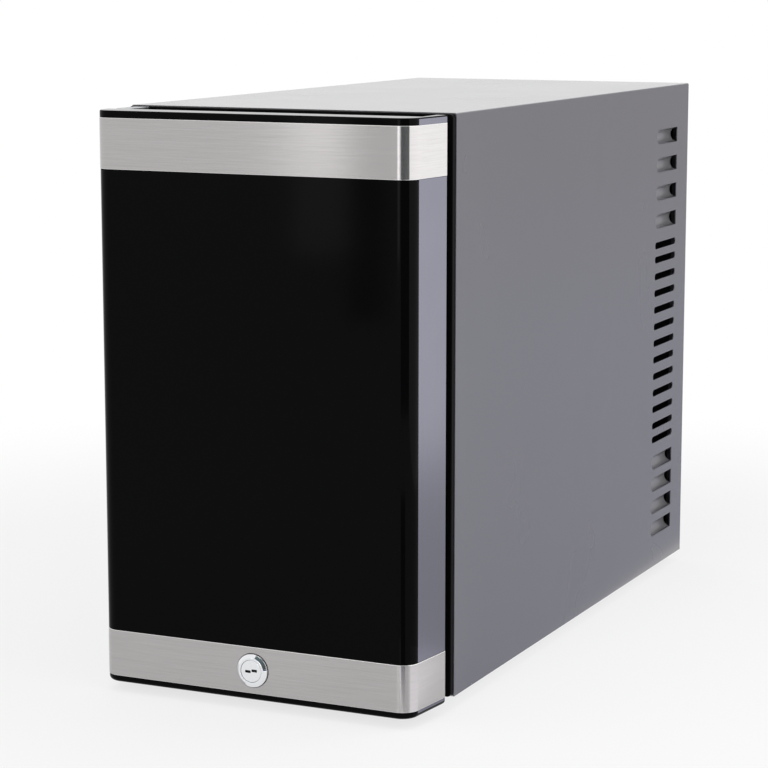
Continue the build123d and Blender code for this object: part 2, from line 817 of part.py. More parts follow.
def fan_rotor(y_front, depth, side):
    """Hub, shaft and pitched blades, turning in the frame."""
    y_hub = y_front + fan_end_gap
    hub_depth = depth - fan_hub_sheet - 2 * fan_end_gap
    tip = side / 2 - fan_wall - fan_tip_gap
    chord = (hub_depth - 2 * fan_blade_sheet) / cos(radians(fan_blade_pitch))
    with BuildPart() as rotor:
        with BuildSketch(across(y_hub + hub_depth)):
            with Locations((0, mouth_centre)):
                Circle(fan_hub_radius)
        extrude(amount=hub_depth)
        with BuildSketch(across(y_front + depth - fan_end_gap)):
            with Locations((0, mouth_centre)):
                Circle(fan_shaft_radius)
        extrude(amount=depth - 2 * fan_end_gap)
        for n in range(fan_blades):
            radial = Vector(1, 0, 0).rotate(Axis.Y, 360 / fan_blades * n)
            root = Vector(0, y_hub + hub_depth / 2, mouth_centre) + radial * (fan_hub_radius - fan_blade_root)
            with BuildSketch(Plane(origin=root, x_dir=(0, 1, 0), z_dir=radial)):
                Rectangle(chord, fan_blade_sheet, rotation=fan_blade_pitch)
            extrude(amount=tip - fan_hub_radius + fan_blade_root)
    return rotor


for fan, y_fan, depth, side, steps in (
    ("cold_fan", y_cold_fan, cold_fan_depth, cold_fan_side, cold_fan_holes),
    ("hot_fan", y_hot_fins, hot_fan_depth, hot_fan_side, hot_fan_holes),
):
    save(fan_frame(y_fan, depth, side, fan_holes(steps)), f"{fan}_frame")
    save(fan_rotor(y_fan, depth, side), f"{fan}_rotor")

# The hot fan's screws go in from the rear, and the cold fan's from the front
hot_fan_screws = screws(fan_holes(hot_fan_holes), y_hot_fan_rear, hot_fan_depth + hot_fin + hot_base / 2,
                        fan_screw_radius, fan_screw_head_radius, fan_screw_head)
save(hot_fan_screws, "hot_fan_screws")
cold_fan_screws = screws(fan_holes(cold_fan_holes), y_cold_fan, -(cold_fan_depth + cold_fin + cold_base / 2),
                         fan_screw_radius, fan_screw_head_radius, -fan_screw_head)
save(cold_fan_screws, "cold_fan_screws")

# Fan cover on the rear wall of the liner
with BuildPart() as fan_cover:
    with BuildSketch(across(y_cavity)):
        with Locations((0, mouth_centre)):
            RectangleRounded(cover_width, cover_height, cover_corner)
    extrude(amount=cover_depth)
    with BuildSketch(across(y_cavity)):
        with Locations((0, mouth_centre)):
            RectangleRounded(cover_width - 2 * cover_wall, cover_height - 2 * cover_wall,
                             cover_corner - cover_wall)
    extrude(amount=cover_depth - cover_wall, mode=Mode.SUBTRACT)
    with BuildSketch(across(y_cover + cover_wall)):
        for radius, count in grille_holes:
            with Locations((0, mouth_centre)):
                with PolarLocations(radius, count):
                    Circle(grille_hole)
    extrude(amount=cover_wall, mode=Mode.SUBTRACT)
    with BuildSketch(Plane.XY.offset(mouth_centre)):
        with Locations((0, y_cavity - cover_depth / 2)):
            with GridLocations(outlet_pitch, 0, outlet_count, 1):
                SlotOverall(outlet_length, outlet_width, rotation=90)
    extrude(amount=cover_height, both=True, mode=Mode.SUBTRACT)
    fillet(fan_cover.faces().sort_by(Axis.Y)[0].outer_wire().edges(), cover_wall)
save(fan_cover, "fan_cover")

# Temperature sensor on the rear wall, beside the fan cover
with BuildPart() as temperature_sensor:
    with BuildSketch(across(y_cavity)):
        with Locations((sensor_x, mouth_centre + sensor_rise)):
            RectangleRounded(sensor_foot_width, sensor_length, sensor_radius)
    extrude(amount=sensor_foot)
    with BuildSketch(Plane.XY.offset(mouth_centre + sensor_rise - sensor_length / 2)):
        with Locations((sensor_x, y_cavity - sensor_foot / 2 - sensor_radius)):
            Circle(sensor_radius)
    extrude(amount=sensor_length)
save(temperature_sensor, "temperature_sensor")


# Leads in the machine space
def lead(points):
    """Round lead along straight runs joined by arcs."""
    with BuildPart() as tube:
        with BuildLine() as path:
            FilletPolyline(*points, radius=lead_bend)
        with BuildSketch(Plane(origin=points[0], z_dir=path.line % 0)):
            Circle(lead_radius)
        sweep(path=path.line)
    return tube


y_inlet_inside = y_cover_rear - inlet_depth
mains_turn = y_inlet_inside - lead_reach
mains_points = [(inlet_x, y_inlet_inside, inlet_z), (inlet_x, mains_turn, inlet_z)]
mains_points += [(mains_lead_x, mains_turn, inlet_z), (mains_lead_x, mains_turn, z_board_top)]
save(lead(mains_points), "mains_lead")

module_exit = mouth_centre - hot_sink_height / 2 - module_lead_drop
module_turn = y_bulk_rear + module_lead_reach
module_points = [(module_lead_x, y_bulk_rear, module_exit), (module_lead_x, module_turn, module_exit)]
module_points += [(module_lead_x, module_turn, z_board_top)]
save(lead(module_points), "module_lead")

fan_exit = mouth_centre - hot_fan_side / 2
fan_lead_y = y_hot_fins + hot_fan_depth / 2
fan_points = [(fan_lead_x, fan_lead_y, fan_exit), (fan_lead_x, fan_lead_y, fan_exit - fan_lead_drop)]
fan_points += [(fan_lead_x - fan_lead_jog, fan_lead_y + fan_lead_jog, fan_exit - 2 * fan_lead_drop)]
fan_points += [(fan_lead_x - fan_lead_jog, fan_lead_y + fan_lead_jog, z_board_top)]
save(lead(fan_points), "fan_lead")

# Lamp and control housing, open at the top where it meets the ceiling
y_housing = y_cab + housing_setback
housing_low = mouth_high - housing_height
housing_y = y_housing + housing_depth / 2
lens_y = y_housing + lens_setback + lens_depth / 2
button_z = housing_low + housing_height / 2
with BuildPart() as control_housing:
    with BuildSketch(Plane.XY.offset(housing_low)):
        with Locations((0, housing_y)):
            RectangleRounded(housing_width, housing_depth, housing_corner)
    extrude(amount=housing_height)
    with BuildSketch(Plane.XY.offset(housing_low + housing_wall)):
        with Locations((0, housing_y)):
            RectangleRounded(housing_width - 2 * housing_wall, housing_depth - 2 * housing_wall,
                             housing_corner - housing_wall)
    extrude(amount=housing_height, mode=Mode.SUBTRACT)
    with BuildSketch(Plane.XY.offset(housing_low)):
        with Locations((0, lens_y)):
            Rectangle(lens_width, lens_depth)
    extrude(amount=housing_wall, mode=Mode.SUBTRACT)
    with BuildSketch(across(y_housing + housing_wall)):
        with Locations(*[(x, button_z) for x in button_places]):
            Circle(button_radius + button_play)
    extrude(amount=housing_wall, mode=Mode.SUBTRACT)
save(control_housing, "control_housing")

with BuildPart() as lamp_lens:
    with BuildSketch(Plane.XY.offset(housing_low)):
        with Locations((0, lens_y)):
            Rectangle(lens_width - 2 * fit_gap, lens_depth - 2 * fit_gap)
    extrude(amount=housing_wall)
    with BuildSketch(Plane.XY.offset(housing_low + housing_wall)):
        with Locations((0, lens_y)):
            Rectangle(lens_width + 2 * lens_flange, lens_depth + 2 * lens_flange)
    extrude(amount=lens_flange_sheet)
save(lamp_lens, "lamp_lens")

# Control board behind the buttons, with a switch for each
y_control_board = y_housing + housing_wall + control_board_setback
y_switch = y_control_board - switch_depth
control_low = housing_low + housing_wall
with BuildPart() as control_board:
    with BuildSketch(across(y_control_board + control_board_sheet)):
        with Locations((0, (control_low + mouth_high) / 2)):
            Rectangle(control_board_width, mouth_high - control_low)
    extrude(amount=control_board_sheet)
    with BuildSketch(across(y_control_board)):
        with Locations(*[(x, button_z) for x in button_places]):
            Rectangle(switch_side, switch_side)
    extrude(amount=switch_depth)
save(control_board, "control_board")

y_button_flange = y_housing + housing_wall + button_end_gap
for name, x in zip(button_names, button_places):
    with BuildPart() as button:
        with BuildSketch(across(y_button_flange)):
            with Locations((x, button_z)):
                Circle(button_radius)
        extrude(amount=y_button_flange - y_housing + button_proud)
        fillet(button.faces().sort_by(Axis.Y)[0].edges(), button_proud / 2)
        with BuildSketch(across(y_button_flange + button_flange_sheet)):
            with Locations((x, button_z)):
                Circle(button_radius + button_flange)
        extrude(amount=button_flange_sheet)
        with BuildSketch(across(y_switch - button_travel - button_end_gap)):
            with Locations((x, button_z)):
                Circle(button_stem_radius)
        extrude(amount=y_switch - button_travel - button_end_gap - y_button_flange)
    save(button, name)

# Shelves: a rod frame, cross wires dipped for two bottles, and wires along the dips
shelf_half = mouth_half - shelf_wall_gap - shelf_rod
lane = shelf_half / 2
dip_half = shelf_dip_flat / 2
dip_outer = dip_half + shelf_dip_slope
cross_reach = (shelf_back - shelf_front - 2 * shelf_corner) / (shelf_cross_wires - 1)


def shelf_wire_frame(level):
    """One welded wire shelf at the height of its rods."""
    corners = [(-shelf_half, shelf_front + shelf_rod), (shelf_half, shelf_front + shelf_rod)]
    corners += [(shelf_half, shelf_back - shelf_rod), (-shelf_half, shelf_back - shelf_rod)]
    half_dips = [(-shelf_half, 0), (-lane - dip_outer, 0), (-lane - dip_half, -shelf_dip)]
    half_dips += [(-lane + dip_half, -shelf_dip), (-lane + dip_outer, 0)]
    dips = half_dips + [(-x, z) for x, z in reversed(half_dips)]
    with BuildPart() as shelf:
        with BuildLine(Plane.XY.offset(level)) as rim:
            FilletPolyline(*corners, radius=shelf_corner, close=True)
        with BuildSketch(rim.line ^ 0):
            Circle(shelf_rod)
        sweep(path=rim.line)
        for n in range(shelf_cross_wires):
            y_wire = shelf_front + shelf_corner + n * cross_reach
            with BuildLine(across(y_wire)) as cross:
                FilletPolyline(*[(x, level + z) for x, z in dips], radius=shelf_bend)
            with BuildSketch(cross.line ^ 0):
                Circle(shelf_wire)
            sweep(path=cross.line)
        wire_run = shelf_back - shelf_front - 2 * shelf_corner
        with BuildSketch(across(shelf_back - shelf_corner)):
            for side in (-1, 1):
                for edge in (-dip_half, dip_half):
                    with Locations((side * lane + edge, level - shelf_dip - shelf_wire)):
                        Circle(shelf_wire)
        extrude(amount=wire_run)
    return shelf


for n, level in enumerate(shelf_levels):
    save(shelf_wire_frame(level), f"shelf_{n + 1}")

# Door skin: front and flanks in one wrapped shell, stepped in for the bands and bored for the lock
bands = {
    "door_band_top": (z_skin_high - top_band_height, top_band_height),
    "door_band_bottom": (z_skin_low, bottom_band_height),
}
band_inset = band_sheet - band_proud
lock_place = (0, lock_z)
barrel_hole = barrel_radius + barrel_gap
with BuildPart() as door_skin:
    with BuildSketch(Plane.XY.offset(z_skin_low)):
        add(door_outline(0, y_door_rear))
        add(door_outline(door_wall, y_door_rear), mode=Mode.SUBTRACT)
    extrude(amount=z_skin_high - z_skin_low)
    for low, height in bands.values():
        with BuildSketch(Plane.XY.offset(low)):
            add(door_outline(0, y_door_rear))
            add(door_outline(band_inset + band_gap, y_door_rear), mode=Mode.SUBTRACT)
        extrude(amount=height, mode=Mode.SUBTRACT)
    with BuildSketch(across(y_door + door_wall)):
        with Locations(lock_place):
            Circle(barrel_hole)
    extrude(amount=door_wall, mode=Mode.SUBTRACT)
save(door_skin, "door_skin")

# Bands: bright sheet wrapped round the front and both flanks
for name, (low, height) in bands.items():
    with BuildPart() as band:
        with BuildSketch(Plane.XY.offset(low)):
            add(door_outline(-band_proud, y_door_rear))
            add(door_outline(band_inset, y_door_rear), mode=Mode.SUBTRACT)
        extrude(amount=height)
        with BuildSketch(across(y_door + door_wall)):
            with Locations(lock_place):
                Circle(barrel_hole)
        extrude(amount=2 * door_wall, mode=Mode.SUBTRACT)
    save(band, name)

# Door caps: a rim above or below the skin, a plug inside it clear of the lock's barrel, and a recess that
# lets the bracket swing
recess_depth = bracket_sheet + 2 * bracket_gap
swing_past = radians(door_opening - 90)
recess_reach = bracket_half / cos(swing_past) + pin_from_side * tan(swing_past) + recess_gap
bush_radius = pin_radius + pin_play + bush_wall
bush_length = cap_rim - recess_depth + cap_plug
plug_rear = y_door_rear - panel_sheet - fit_gap
plug_inset = door_wall + fit_gap
for name, z_outer, up, edge in (
    ("door_cap_top", z_door_high, 1, top_cap_edge),
    ("door_cap_bottom", z_door_low, -1, bottom_cap_edge),
):
    with BuildPart() as cap:
        with BuildSketch(Plane.XY.offset(z_outer - up * cap_rim)):
            add(door_outline(0, y_door_rear))
        extrude(amount=up * cap_rim)
        outer_face = cap.faces().sort_by(Axis((0, 0, 0), (0, 0, up)))[-1]
        fillet(outer_face.edges(), edge)
        with BuildSketch(Plane.XY.offset(z_outer - up * cap_rim)):
            add(door_outline(plug_inset, plug_rear))
            add(door_outline(plug_inset + cap_plug_wall, plug_rear - cap_plug_wall), mode=Mode.SUBTRACT)
            with Locations((pin_x, pin_y)):
                Circle(bush_radius + bush_boss)
            add(door_outline(plug_inset, plug_rear), mode=Mode.INTERSECT)
        extrude(amount=-up * cap_plug)
        recess_right = pin_x + bracket_half + recess_gap
        with BuildSketch(Plane.XY.offset(z_outer - up * recess_depth)):
            with Locations(((recess_right - door_half) / 2, (pin_y - recess_reach + y_door_rear) / 2)):
                Rectangle(recess_right + door_half, y_door_rear - pin_y + recess_reach)
        extrude(amount=up * recess_depth, mode=Mode.SUBTRACT)
        with BuildSketch(Plane.XY.offset(z_outer - up * recess_depth)):
            with Locations((pin_x, pin_y)):
                Circle(bush_radius + screw_gap)
        extrude(amount=-up * bush_length, mode=Mode.SUBTRACT)
        with BuildSketch(across(y_door_rear)):
            with Locations(lock_place):
                Circle(barrel_hole)
        extrude(amount=door_thickness, mode=Mode.SUBTRACT)
    save(cap, name)

# Bushes in the caps, pins and brackets on the front frame
with BuildPart() as hinge_bushes:
    for z_outer, up in ((z_door_high, 1), (z_door_low, -1)):
        with BuildSketch(Plane.XY.offset(z_outer - up * recess_depth)):
            with Locations((pin_x, pin_y)):
                Circle(bush_radius)
                Circle(pin_radius + pin_play, mode=Mode.SUBTRACT)
        extrude(amount=-up * bush_length)
save(hinge_bushes, "hinge_bushes")

with BuildPart() as hinge_pins:
    for z_bracket, up in ((z_bracket_top, 1), (z_bracket_bottom, -1)):
        with BuildSketch(Plane.XY.offset(z_bracket)):
            with Locations((pin_x, pin_y)):
                Circle(pin_radius)
        extrude(amount=-up * (bracket_sheet + pin_reach))
save(hinge_pins, "hinge_pins")

for name, z_bracket, up in (
    ("hinge_bracket_top", z_bracket_top, 1),
    ("hinge_bracket_bottom", z_bracket_bottom, -1),
):
    with BuildPart() as bracket:
        with BuildSketch(Plane.XY.offset(z_bracket)):
            with Locations((pin_x, (pin_y + y_frame) / 2)):
                Rectangle(2 * bracket_half, y_frame - pin_y)
            with Locations((pin_x, pin_y)):
                Circle(bracket_half)
                Circle(pin_radius + screw_gap / 2, mode=Mode.SUBTRACT)
        extrude(amount=-up * bracket_sheet)
        with BuildSketch(across(y_frame)):
            with Locations((pin_x, z_bracket - up * bracket_height / 2)):
                Rectangle(2 * bracket_half, bracket_height)
        extrude(amount=bracket_sheet)
        for step in hinge_screw_steps:
            seat = (pin_x, y_frame - bracket_sheet, z_bracket - up * step)
            with Locations(Plane(origin=seat, z_dir=(0, -1, 0))):
                CounterSinkHole(frame_hole, frame_screw_head_radius + screw_gap, counter_sink_angle=90)
    save(bracket, name)

# Keeper: upturned channel that the cam drops into
y_cam = y_door_rear + barrel_past + cam_gap
keeper_lip_rear = y_cam - keeper_lip_gap
keeper_lip_height = lock_z - nut_radius - nut_lip_gap - keeper_low
with BuildPart() as lock_keeper:
    with BuildSketch(across(y_frame)):
        with Locations((0, keeper_low + keeper_height / 2)):
            Rectangle(2 * keeper_half, keeper_height)
    extrude(amount=keeper_sheet)
    with BuildSketch(across(y_frame)):
        with Locations((0, keeper_low + keeper_sheet / 2)):
            Rectangle(2 * keeper_lip_half, keeper_sheet)
    extrude(amount=y_frame - keeper_lip_rear + keeper_sheet)
    with BuildSketch(across(keeper_lip_rear)):
        with Locations((0, keeper_low + keeper_lip_height / 2)):
            Rectangle(2 * keeper_lip_half, keeper_lip_height)
    extrude(amount=keeper_sheet)
    for x, z in keeper_screw_places:
        with Locations(Plane(origin=(x, y_frame - keeper_sheet, z), z_dir=(0, -1, 0))):
            CounterSinkHole(frame_hole, frame_screw_head_radius + screw_gap, counter_sink_angle=90)
save(lock_keeper, "lock_keeper")

with BuildPart() as frame_screws:
    seats = [(place, y_frame - bracket_sheet) for place in hinge_screw_places]
    seats += [(place, y_frame - keeper_sheet) for place in keeper_screw_places]
    for (x, z), y_seat in seats:
        with BuildSketch(across(y_seat)):
            with Locations((x, z)):
                Circle(frame_screw_radius)
        extrude(amount=-frame_screw_length)
        with BuildSketch(Plane.YZ.offset(x)):
            with BuildLine():
                head_end = y_seat + frame_screw_head
                Polyline((y_seat, z), (y_seat, z + frame_screw_head_radius),
                         (head_end, z + frame_screw_radius), (head_end, z), close=True)
            make_face()
        revolve(axis=Axis((x, 0, z), (0, 1, 0)))
save(frame_screws, "frame_screws")

# Door insulation, inner panel and gasket
with BuildPart() as door_insulation:
    foam_low = z_skin_low + cap_plug + fit_gap
    foam_high = z_skin_high - cap_plug - fit_gap
    with BuildSketch(Plane.XY.offset(foam_low)):
        add(door_outline(plug_inset, plug_rear))
    extrude(amount=foam_high - foam_low)
    with BuildSketch(across(y_door_rear)):
        with Locations(lock_place):
            Circle(barrel_hole)
    extrude(amount=door_thickness, mode=Mode.SUBTRACT)
save(door_insulation, "door_insulation")

with BuildPart() as door_inner_panel:
    with BuildSketch(Plane.XY.offset(z_skin_low + fit_gap)):
        add(door_outline(plug_inset, y_door_rear))
    extrude(amount=z_skin_high - z_skin_low - 2 * fit_gap)
    split(bisect_by=Plane(origin=(0, y_door_rear - panel_sheet, 0), z_dir=(0, 1, 0)), keep=Keep.TOP)
    with BuildSketch(across(y_door_rear + panel_rise)):
        with Locations((0, mouth_centre)):
            RectangleRounded(mouth_width - 2 * panel_margin, mouth_height - 2 * panel_margin, panel_corner)
    extrude(amount=panel_rise)
    fillet(door_inner_panel.faces().sort_by(Axis.Y)[-1].edges(), panel_edge)
    with BuildSketch(across(y_door_rear + panel_rise - panel_sheet)):
        with Locations((0, mouth_centre)):
            RectangleRounded(mouth_width - 2 * (panel_margin + panel_sheet),
                             mouth_height - 2 * (panel_margin + panel_sheet), panel_corner - panel_sheet)
    extrude(amount=panel_rise, mode=Mode.SUBTRACT)
    with BuildSketch(across(y_door_rear)):
        with Locations(lock_place):
            Circle(barrel_hole)
    extrude(amount=panel_sheet, mode=Mode.SUBTRACT)
save(door_inner_panel, "door_inner_panel")

with BuildPart() as door_gasket:
    with BuildSketch(across(y_frame - gasket_gap)):
        with Locations((0, mouth_centre)):
            RectangleRounded(mouth_width + 2 * gasket_outer, mouth_height + 2 * gasket_outer,
                             gasket_corner + gasket_outer - gasket_inner)
            RectangleRounded(mouth_width + 2 * gasket_inner, mouth_height + 2 * gasket_inner, gasket_corner,
                             mode=Mode.SUBTRACT)
    extrude(amount=door_gap - gasket_gap)
save(door_gasket, "door_gasket")

# Lock body: bevelled ring and long barrel
y_ring = y_door - lock_proud
y_head_end = y_ring + plug_head_length
lock_axis = Axis((0, 0, lock_z), (0, 1, 0))
with BuildPart() as lock_body:
    with BuildSketch(Plane.YZ):
        with BuildLine():
            Polyline(
                (y_ring, lock_z + plug_head_radius + plug_play),
                (y_ring, lock_z + lock_ring_radius - lock_bevel),
                (y_ring + lock_bevel_depth, lock_z + lock_ring_radius),
                (y_door - band_proud, lock_z + lock_ring_radius),
                (y_door - band_proud, lock_z + barrel_radius),
                (y_door_rear + barrel_past, lock_z + barrel_radius),
                (y_door_rear + barrel_past, lock_z + plug_radius + plug_play),
                (y_head_end, lock_z + plug_radius + plug_play),
                (y_head_end, lock_z + plug_head_radius + plug_play),
                close=True,
            )
        make_face()
    revolve(axis=lock_axis)
save(lock_body, "lock_body")

# Lock nut: a round nut with two key slots, kept clear of the gasket above it by a flat
nut_top = mouth_centre - mouth_height / 2 - gasket_outer - nut_gasket_gap
with BuildPart() as lock_nut:
    with BuildSketch(across(y_door_rear + nut_thickness)):
        with Locations(lock_place):
            Circle(nut_radius)
            Circle(barrel_radius + screw_gap, mode=Mode.SUBTRACT)
        with Locations((0, nut_top + nut_radius)):
            Rectangle(2 * nut_radius, 2 * nut_radius, mode=Mode.SUBTRACT)
    extrude(amount=nut_thickness)
    with BuildSketch(across(y_door_rear + nut_thickness)):
        with Locations((-nut_radius, lock_z), (nut_radius, lock_z)):
            Rectangle(nut_slot / 2, nut_slot)
    extrude(amount=nut_thickness, mode=Mode.SUBTRACT)
save(lock_nut, "lock_nut")

# Lock plug: face with a stepped level keyway, shaft, and a square tang for the cam
with BuildPart() as lock_plug:
    with BuildSketch(Plane.YZ):
        with BuildLine():
            Polyline(
                (y_ring + plug_recess, lock_z),
                (y_ring + plug_recess, lock_z + plug_head_radius),
                (y_head_end - plug_play, lock_z + plug_head_radius),
                (y_head_end - plug_play, lock_z + plug_radius),
                (y_cam, lock_z + plug_radius),
                (y_cam, lock_z),
                close=True,
            )
        make_face()
    revolve(axis=lock_axis)
    with BuildSketch(across(y_cam + cam_sheet)):
        with Locations(lock_place):
            Rectangle(tang_side, tang_side)
    extrude(amount=cam_sheet)
    with BuildSketch(across(y_ring + keyway_depth)):
        with Locations(lock_place):
            Rectangle(keyway_length, keyway_height / 2)
        for side in (-1, 1):
            with Locations((side * keyway_length / 4, lock_z + side * keyway_step / 2)):
                Rectangle(keyway_length / 2, keyway_height)
    extrude(amount=keyway_depth, mode=Mode.SUBTRACT)
    with BuildSketch(across(y_cam + cam_sheet)):
        with Locations(lock_place):
            Circle(cam_screw_radius + screw_gap / 2)
    extrude(amount=cam_screw_length + screw_gap, mode=Mode.SUBTRACT)
save(lock_plug, "lock_plug")

with BuildPart() as lock_cam:
    with BuildSketch(across(y_cam + cam_sheet)):
        with Locations(lock_place):
            Circle(cam_hub)
        with Locations(((cam_reach - cam_half) / 2, lock_z)):
            Rectangle(cam_reach - cam_half, 2 * cam_half)
        with Locations((cam_reach - cam_half, lock_z)):
            Circle(cam_half)
        with Locations(lock_place):
            Rectangle(tang_side + screw_gap, tang_side + screw_gap, mode=Mode.SUBTRACT)
    extrude(amount=cam_sheet)
save(lock_cam, "lock_cam")

cam_screw = screws([lock_place], y_cam + cam_sheet, cam_screw_length, cam_screw_radius, cam_screw_head_radius,
                   cam_screw_head)
save(cam_screw, "cam_screw")
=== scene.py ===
import logging
import math
from contextlib import contextmanager
from dataclasses import dataclass
from enum import Enum
from functools import cache
from typing import Callable, Iterator, Sequence

import bmesh
import bpy
from mathutils import Color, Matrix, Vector


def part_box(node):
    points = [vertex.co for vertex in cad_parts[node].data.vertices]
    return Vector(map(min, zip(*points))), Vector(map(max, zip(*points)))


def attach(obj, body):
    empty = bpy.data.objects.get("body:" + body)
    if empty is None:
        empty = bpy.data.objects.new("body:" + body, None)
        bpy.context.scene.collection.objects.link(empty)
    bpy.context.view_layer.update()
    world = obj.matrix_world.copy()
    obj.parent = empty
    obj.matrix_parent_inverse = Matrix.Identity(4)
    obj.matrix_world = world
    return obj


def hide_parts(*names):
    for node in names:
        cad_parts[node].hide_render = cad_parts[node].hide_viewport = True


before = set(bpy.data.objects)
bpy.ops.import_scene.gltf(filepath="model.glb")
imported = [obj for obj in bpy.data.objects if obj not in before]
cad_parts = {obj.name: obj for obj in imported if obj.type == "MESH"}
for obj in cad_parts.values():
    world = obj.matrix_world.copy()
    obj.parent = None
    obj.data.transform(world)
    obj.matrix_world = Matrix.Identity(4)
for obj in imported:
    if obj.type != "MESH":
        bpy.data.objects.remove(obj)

LOG = logging.getLogger("wine_cooler")
MM = 0.001
CLEAR = 5 * MM  # How far a cutting tool stands past the piece that it cuts.
CLOSE = 0.01 * MM  # Places nearer to each other than this are one.
FACING = 0.9  # Above this part of its normal, a face looks along an axis.
SIDEWAYS = 0.5  # Below this part of its normal, a face looks across an axis.
QUARTER_TURN = math.pi / 2
SMOOTH_ANGLE = math.radians(35)
EDGE_STEPS = 5

Colour = tuple[float, float, float]
Place = tuple[float, float, float]
Material = bpy.types.Material
Node = bpy.types.Node
NodeTree = bpy.types.NodeTree
Piece = bpy.types.Object
Socket = bpy.types.NodeSocket
Test = Callable[[object], bool]


def shade(red: int, green: int, blue: int) -> Colour:
    """Turn a display colour of 0 to 255 into the linear colour that a shader takes."""
    return tuple(Color((red / 255, green / 255, blue / 255)).from_srgb_to_scene_linear())


class Element(Enum):
    """What a selection in edit mode is made of."""

    VERTEX = "VERT"
    EDGE = "EDGE"
    FACE = "FACE"


class Cut(Enum):
    """How one solid is worked with another."""

    REMOVE = "DIFFERENCE"
    ADD = "UNION"


class Facing(Enum):
    """Which way a screw's head looks."""

    FRONT = -1
    REAR = 1


class Ray(Enum):
    """The rays that see a light or a card."""

    CAMERA = "visible_camera"
    DIFFUSE = "visible_diffuse"
    GLOSSY = "visible_glossy"
    SHADOW = "visible_shadow"
    TRANSMISSION = "visible_transmission"


def focus(piece: Piece) -> None:
    """Leave one piece selected and active.

    Args:
        piece: The piece.
    """
    bpy.ops.object.select_all(action="DESELECT")
    piece.select_set(True)
    bpy.context.view_layer.objects.active = piece


@contextmanager
def editing(piece: Piece) -> Iterator[None]:
    """Work on a piece in edit mode, starting with nothing selected.

    Args:
        piece: The piece to edit.

    Returns:
        A context that goes back to object mode at its end.
    """
    focus(piece)
    bpy.ops.object.mode_set(mode="EDIT")
    bpy.ops.mesh.select_all(action="DESELECT")
    yield
    bpy.ops.object.mode_set(mode="OBJECT")


def pick(piece: Piece, element: Element, wanted: Test) -> None:
    """Select the elements of a piece in edit mode that pass a test.

    Args:
        piece: The piece in edit mode.
        element: The kind of element.
        wanted: The test that each element is put to.
    """
    bpy.ops.mesh.select_mode(type=element.value)
    bpy.ops.mesh.select_all(action="DESELECT")
    mesh = bmesh.from_edit_mesh(piece.data)
    mesh.normal_update()
    kinds = {Element.VERTEX: mesh.verts, Element.EDGE: mesh.edges, Element.FACE: mesh.faces}
    for one in kinds[element]:
        if wanted(one):
            one.select_set(True)
    mesh.select_flush_mode()
    bmesh.update_edit_mesh(piece.data)


def looking(*way: float) -> Test:
    """Make a test for the faces that look a given way."""
    return lambda face: face.normal.dot(Vector(way)) > FACING


def runs_along(edge: bmesh.types.BMEdge, axis: str) -> bool:
    """Tell whether an edge runs along an axis."""
    start, end = (getattr(vert.co, axis) for vert in edge.verts)
    return abs(end - start) > CLOSE


def lies_at(edge: bmesh.types.BMEdge, axis: str, level: float) -> bool:
    """Tell whether both ends of an edge lie at one level of an axis."""
    return all(abs(getattr(vert.co, axis) - level) < CLOSE for vert in edge.verts)


def round_off(width: float, steps: int) -> None:
    """Round the picked edges."""
    bpy.ops.mesh.bevel(offset=width, offset_type="OFFSET", segments=steps, profile=0.5, affect="EDGES")


def extrude(*move: float) -> None:
    """Extrude the picked faces along a move."""
    bpy.ops.mesh.extrude_region_move(TRANSFORM_OT_translate={"value": move})


def swell(distance: float) -> None:
    """Extrude the picked faces along their normals, inwards where the distance is negative."""
    bpy.ops.mesh.extrude_region_shrink_fatten(TRANSFORM_OT_shrink_fatten={"value": distance})


def slice_at(depth: float) -> None:
    """Divide the whole piece in edit mode by a plane at one depth."""
    bpy.ops.mesh.select_all(action="SELECT")
    bpy.ops.mesh.bisect(plane_co=(0, depth, 0), plane_no=(0, 1, 0))


def turn_outwards() -> None:
    """Turn all faces of the piece in edit mode outwards."""
    bpy.ops.mesh.select_all(action="SELECT")
    bpy.ops.mesh.normals_make_consistent(inside=False)


def primitive(name: str, add: Callable[..., object], scale: Sequence[float] = (1, 1, 1),
              **settings: object) -> Piece:
    """Add a primitive with nothing else selected, and apply its place, turn and scale.

    Args:
        name: Name of the piece.
        add: The operator that adds it.
        scale: Its scale.
        settings: Values of the operator.

    Returns:
        The new piece.
    """
    bpy.ops.object.select_all(action="DESELECT")
    add(**settings)
    piece = bpy.context.active_object
    piece.name = name
    piece.scale = scale
    bpy.ops.object.transform_apply()
    return piece


def block(name: str, low: Sequence[float], high: Sequence[float]) -> Piece:
    """Add a block between its lowest and its highest corner."""
    low, high = Vector(low), Vector(high)
    return primitive(name, bpy.ops.mesh.primitive_cube_add, high - low, size=1, location=(low + high) / 2)


def bar(name: str, radius: float, front: Sequence[float], rear_y: float, sides: int = 96) -> Piece:
    """Add a round bar along the depth of the cooler, from the centre of its front face to a rear depth."""
    x, front_y, z = front
    return primitive(name, bpy.ops.mesh.primitive_cylinder_add, vertices=sides, radius=radius,
                     depth=rear_y - front_y, location=(x, (front_y + rear_y) / 2, z),
                     rotation=(QUARTER_TURN, 0, 0))


def apply_modifier(piece: Piece, kind: str, **settings: object) -> None:
    """Give a piece a modifier and apply it.

    Args:
        piece: The piece.
        kind: Blender's name for the modifier.
        settings: Values of the modifier.
    """
    focus(piece)
    modifier = piece.modifiers.new(kind.title(), kind)
    for key, value in settings.items():
        setattr(modifier, key, value)
    bpy.ops.object.modifier_apply(modifier=modifier.name)


def work(piece: Piece, tool: Piece, cut: Cut = Cut.REMOVE) -> None:
    """Cut a tool out of a piece, or add it, and take the tool away."""
    apply_modifier(piece, "BOOLEAN", object=tool, operation=cut.value, solver="EXACT")
    bpy.data.objects.remove(tool, do_unlink=True)


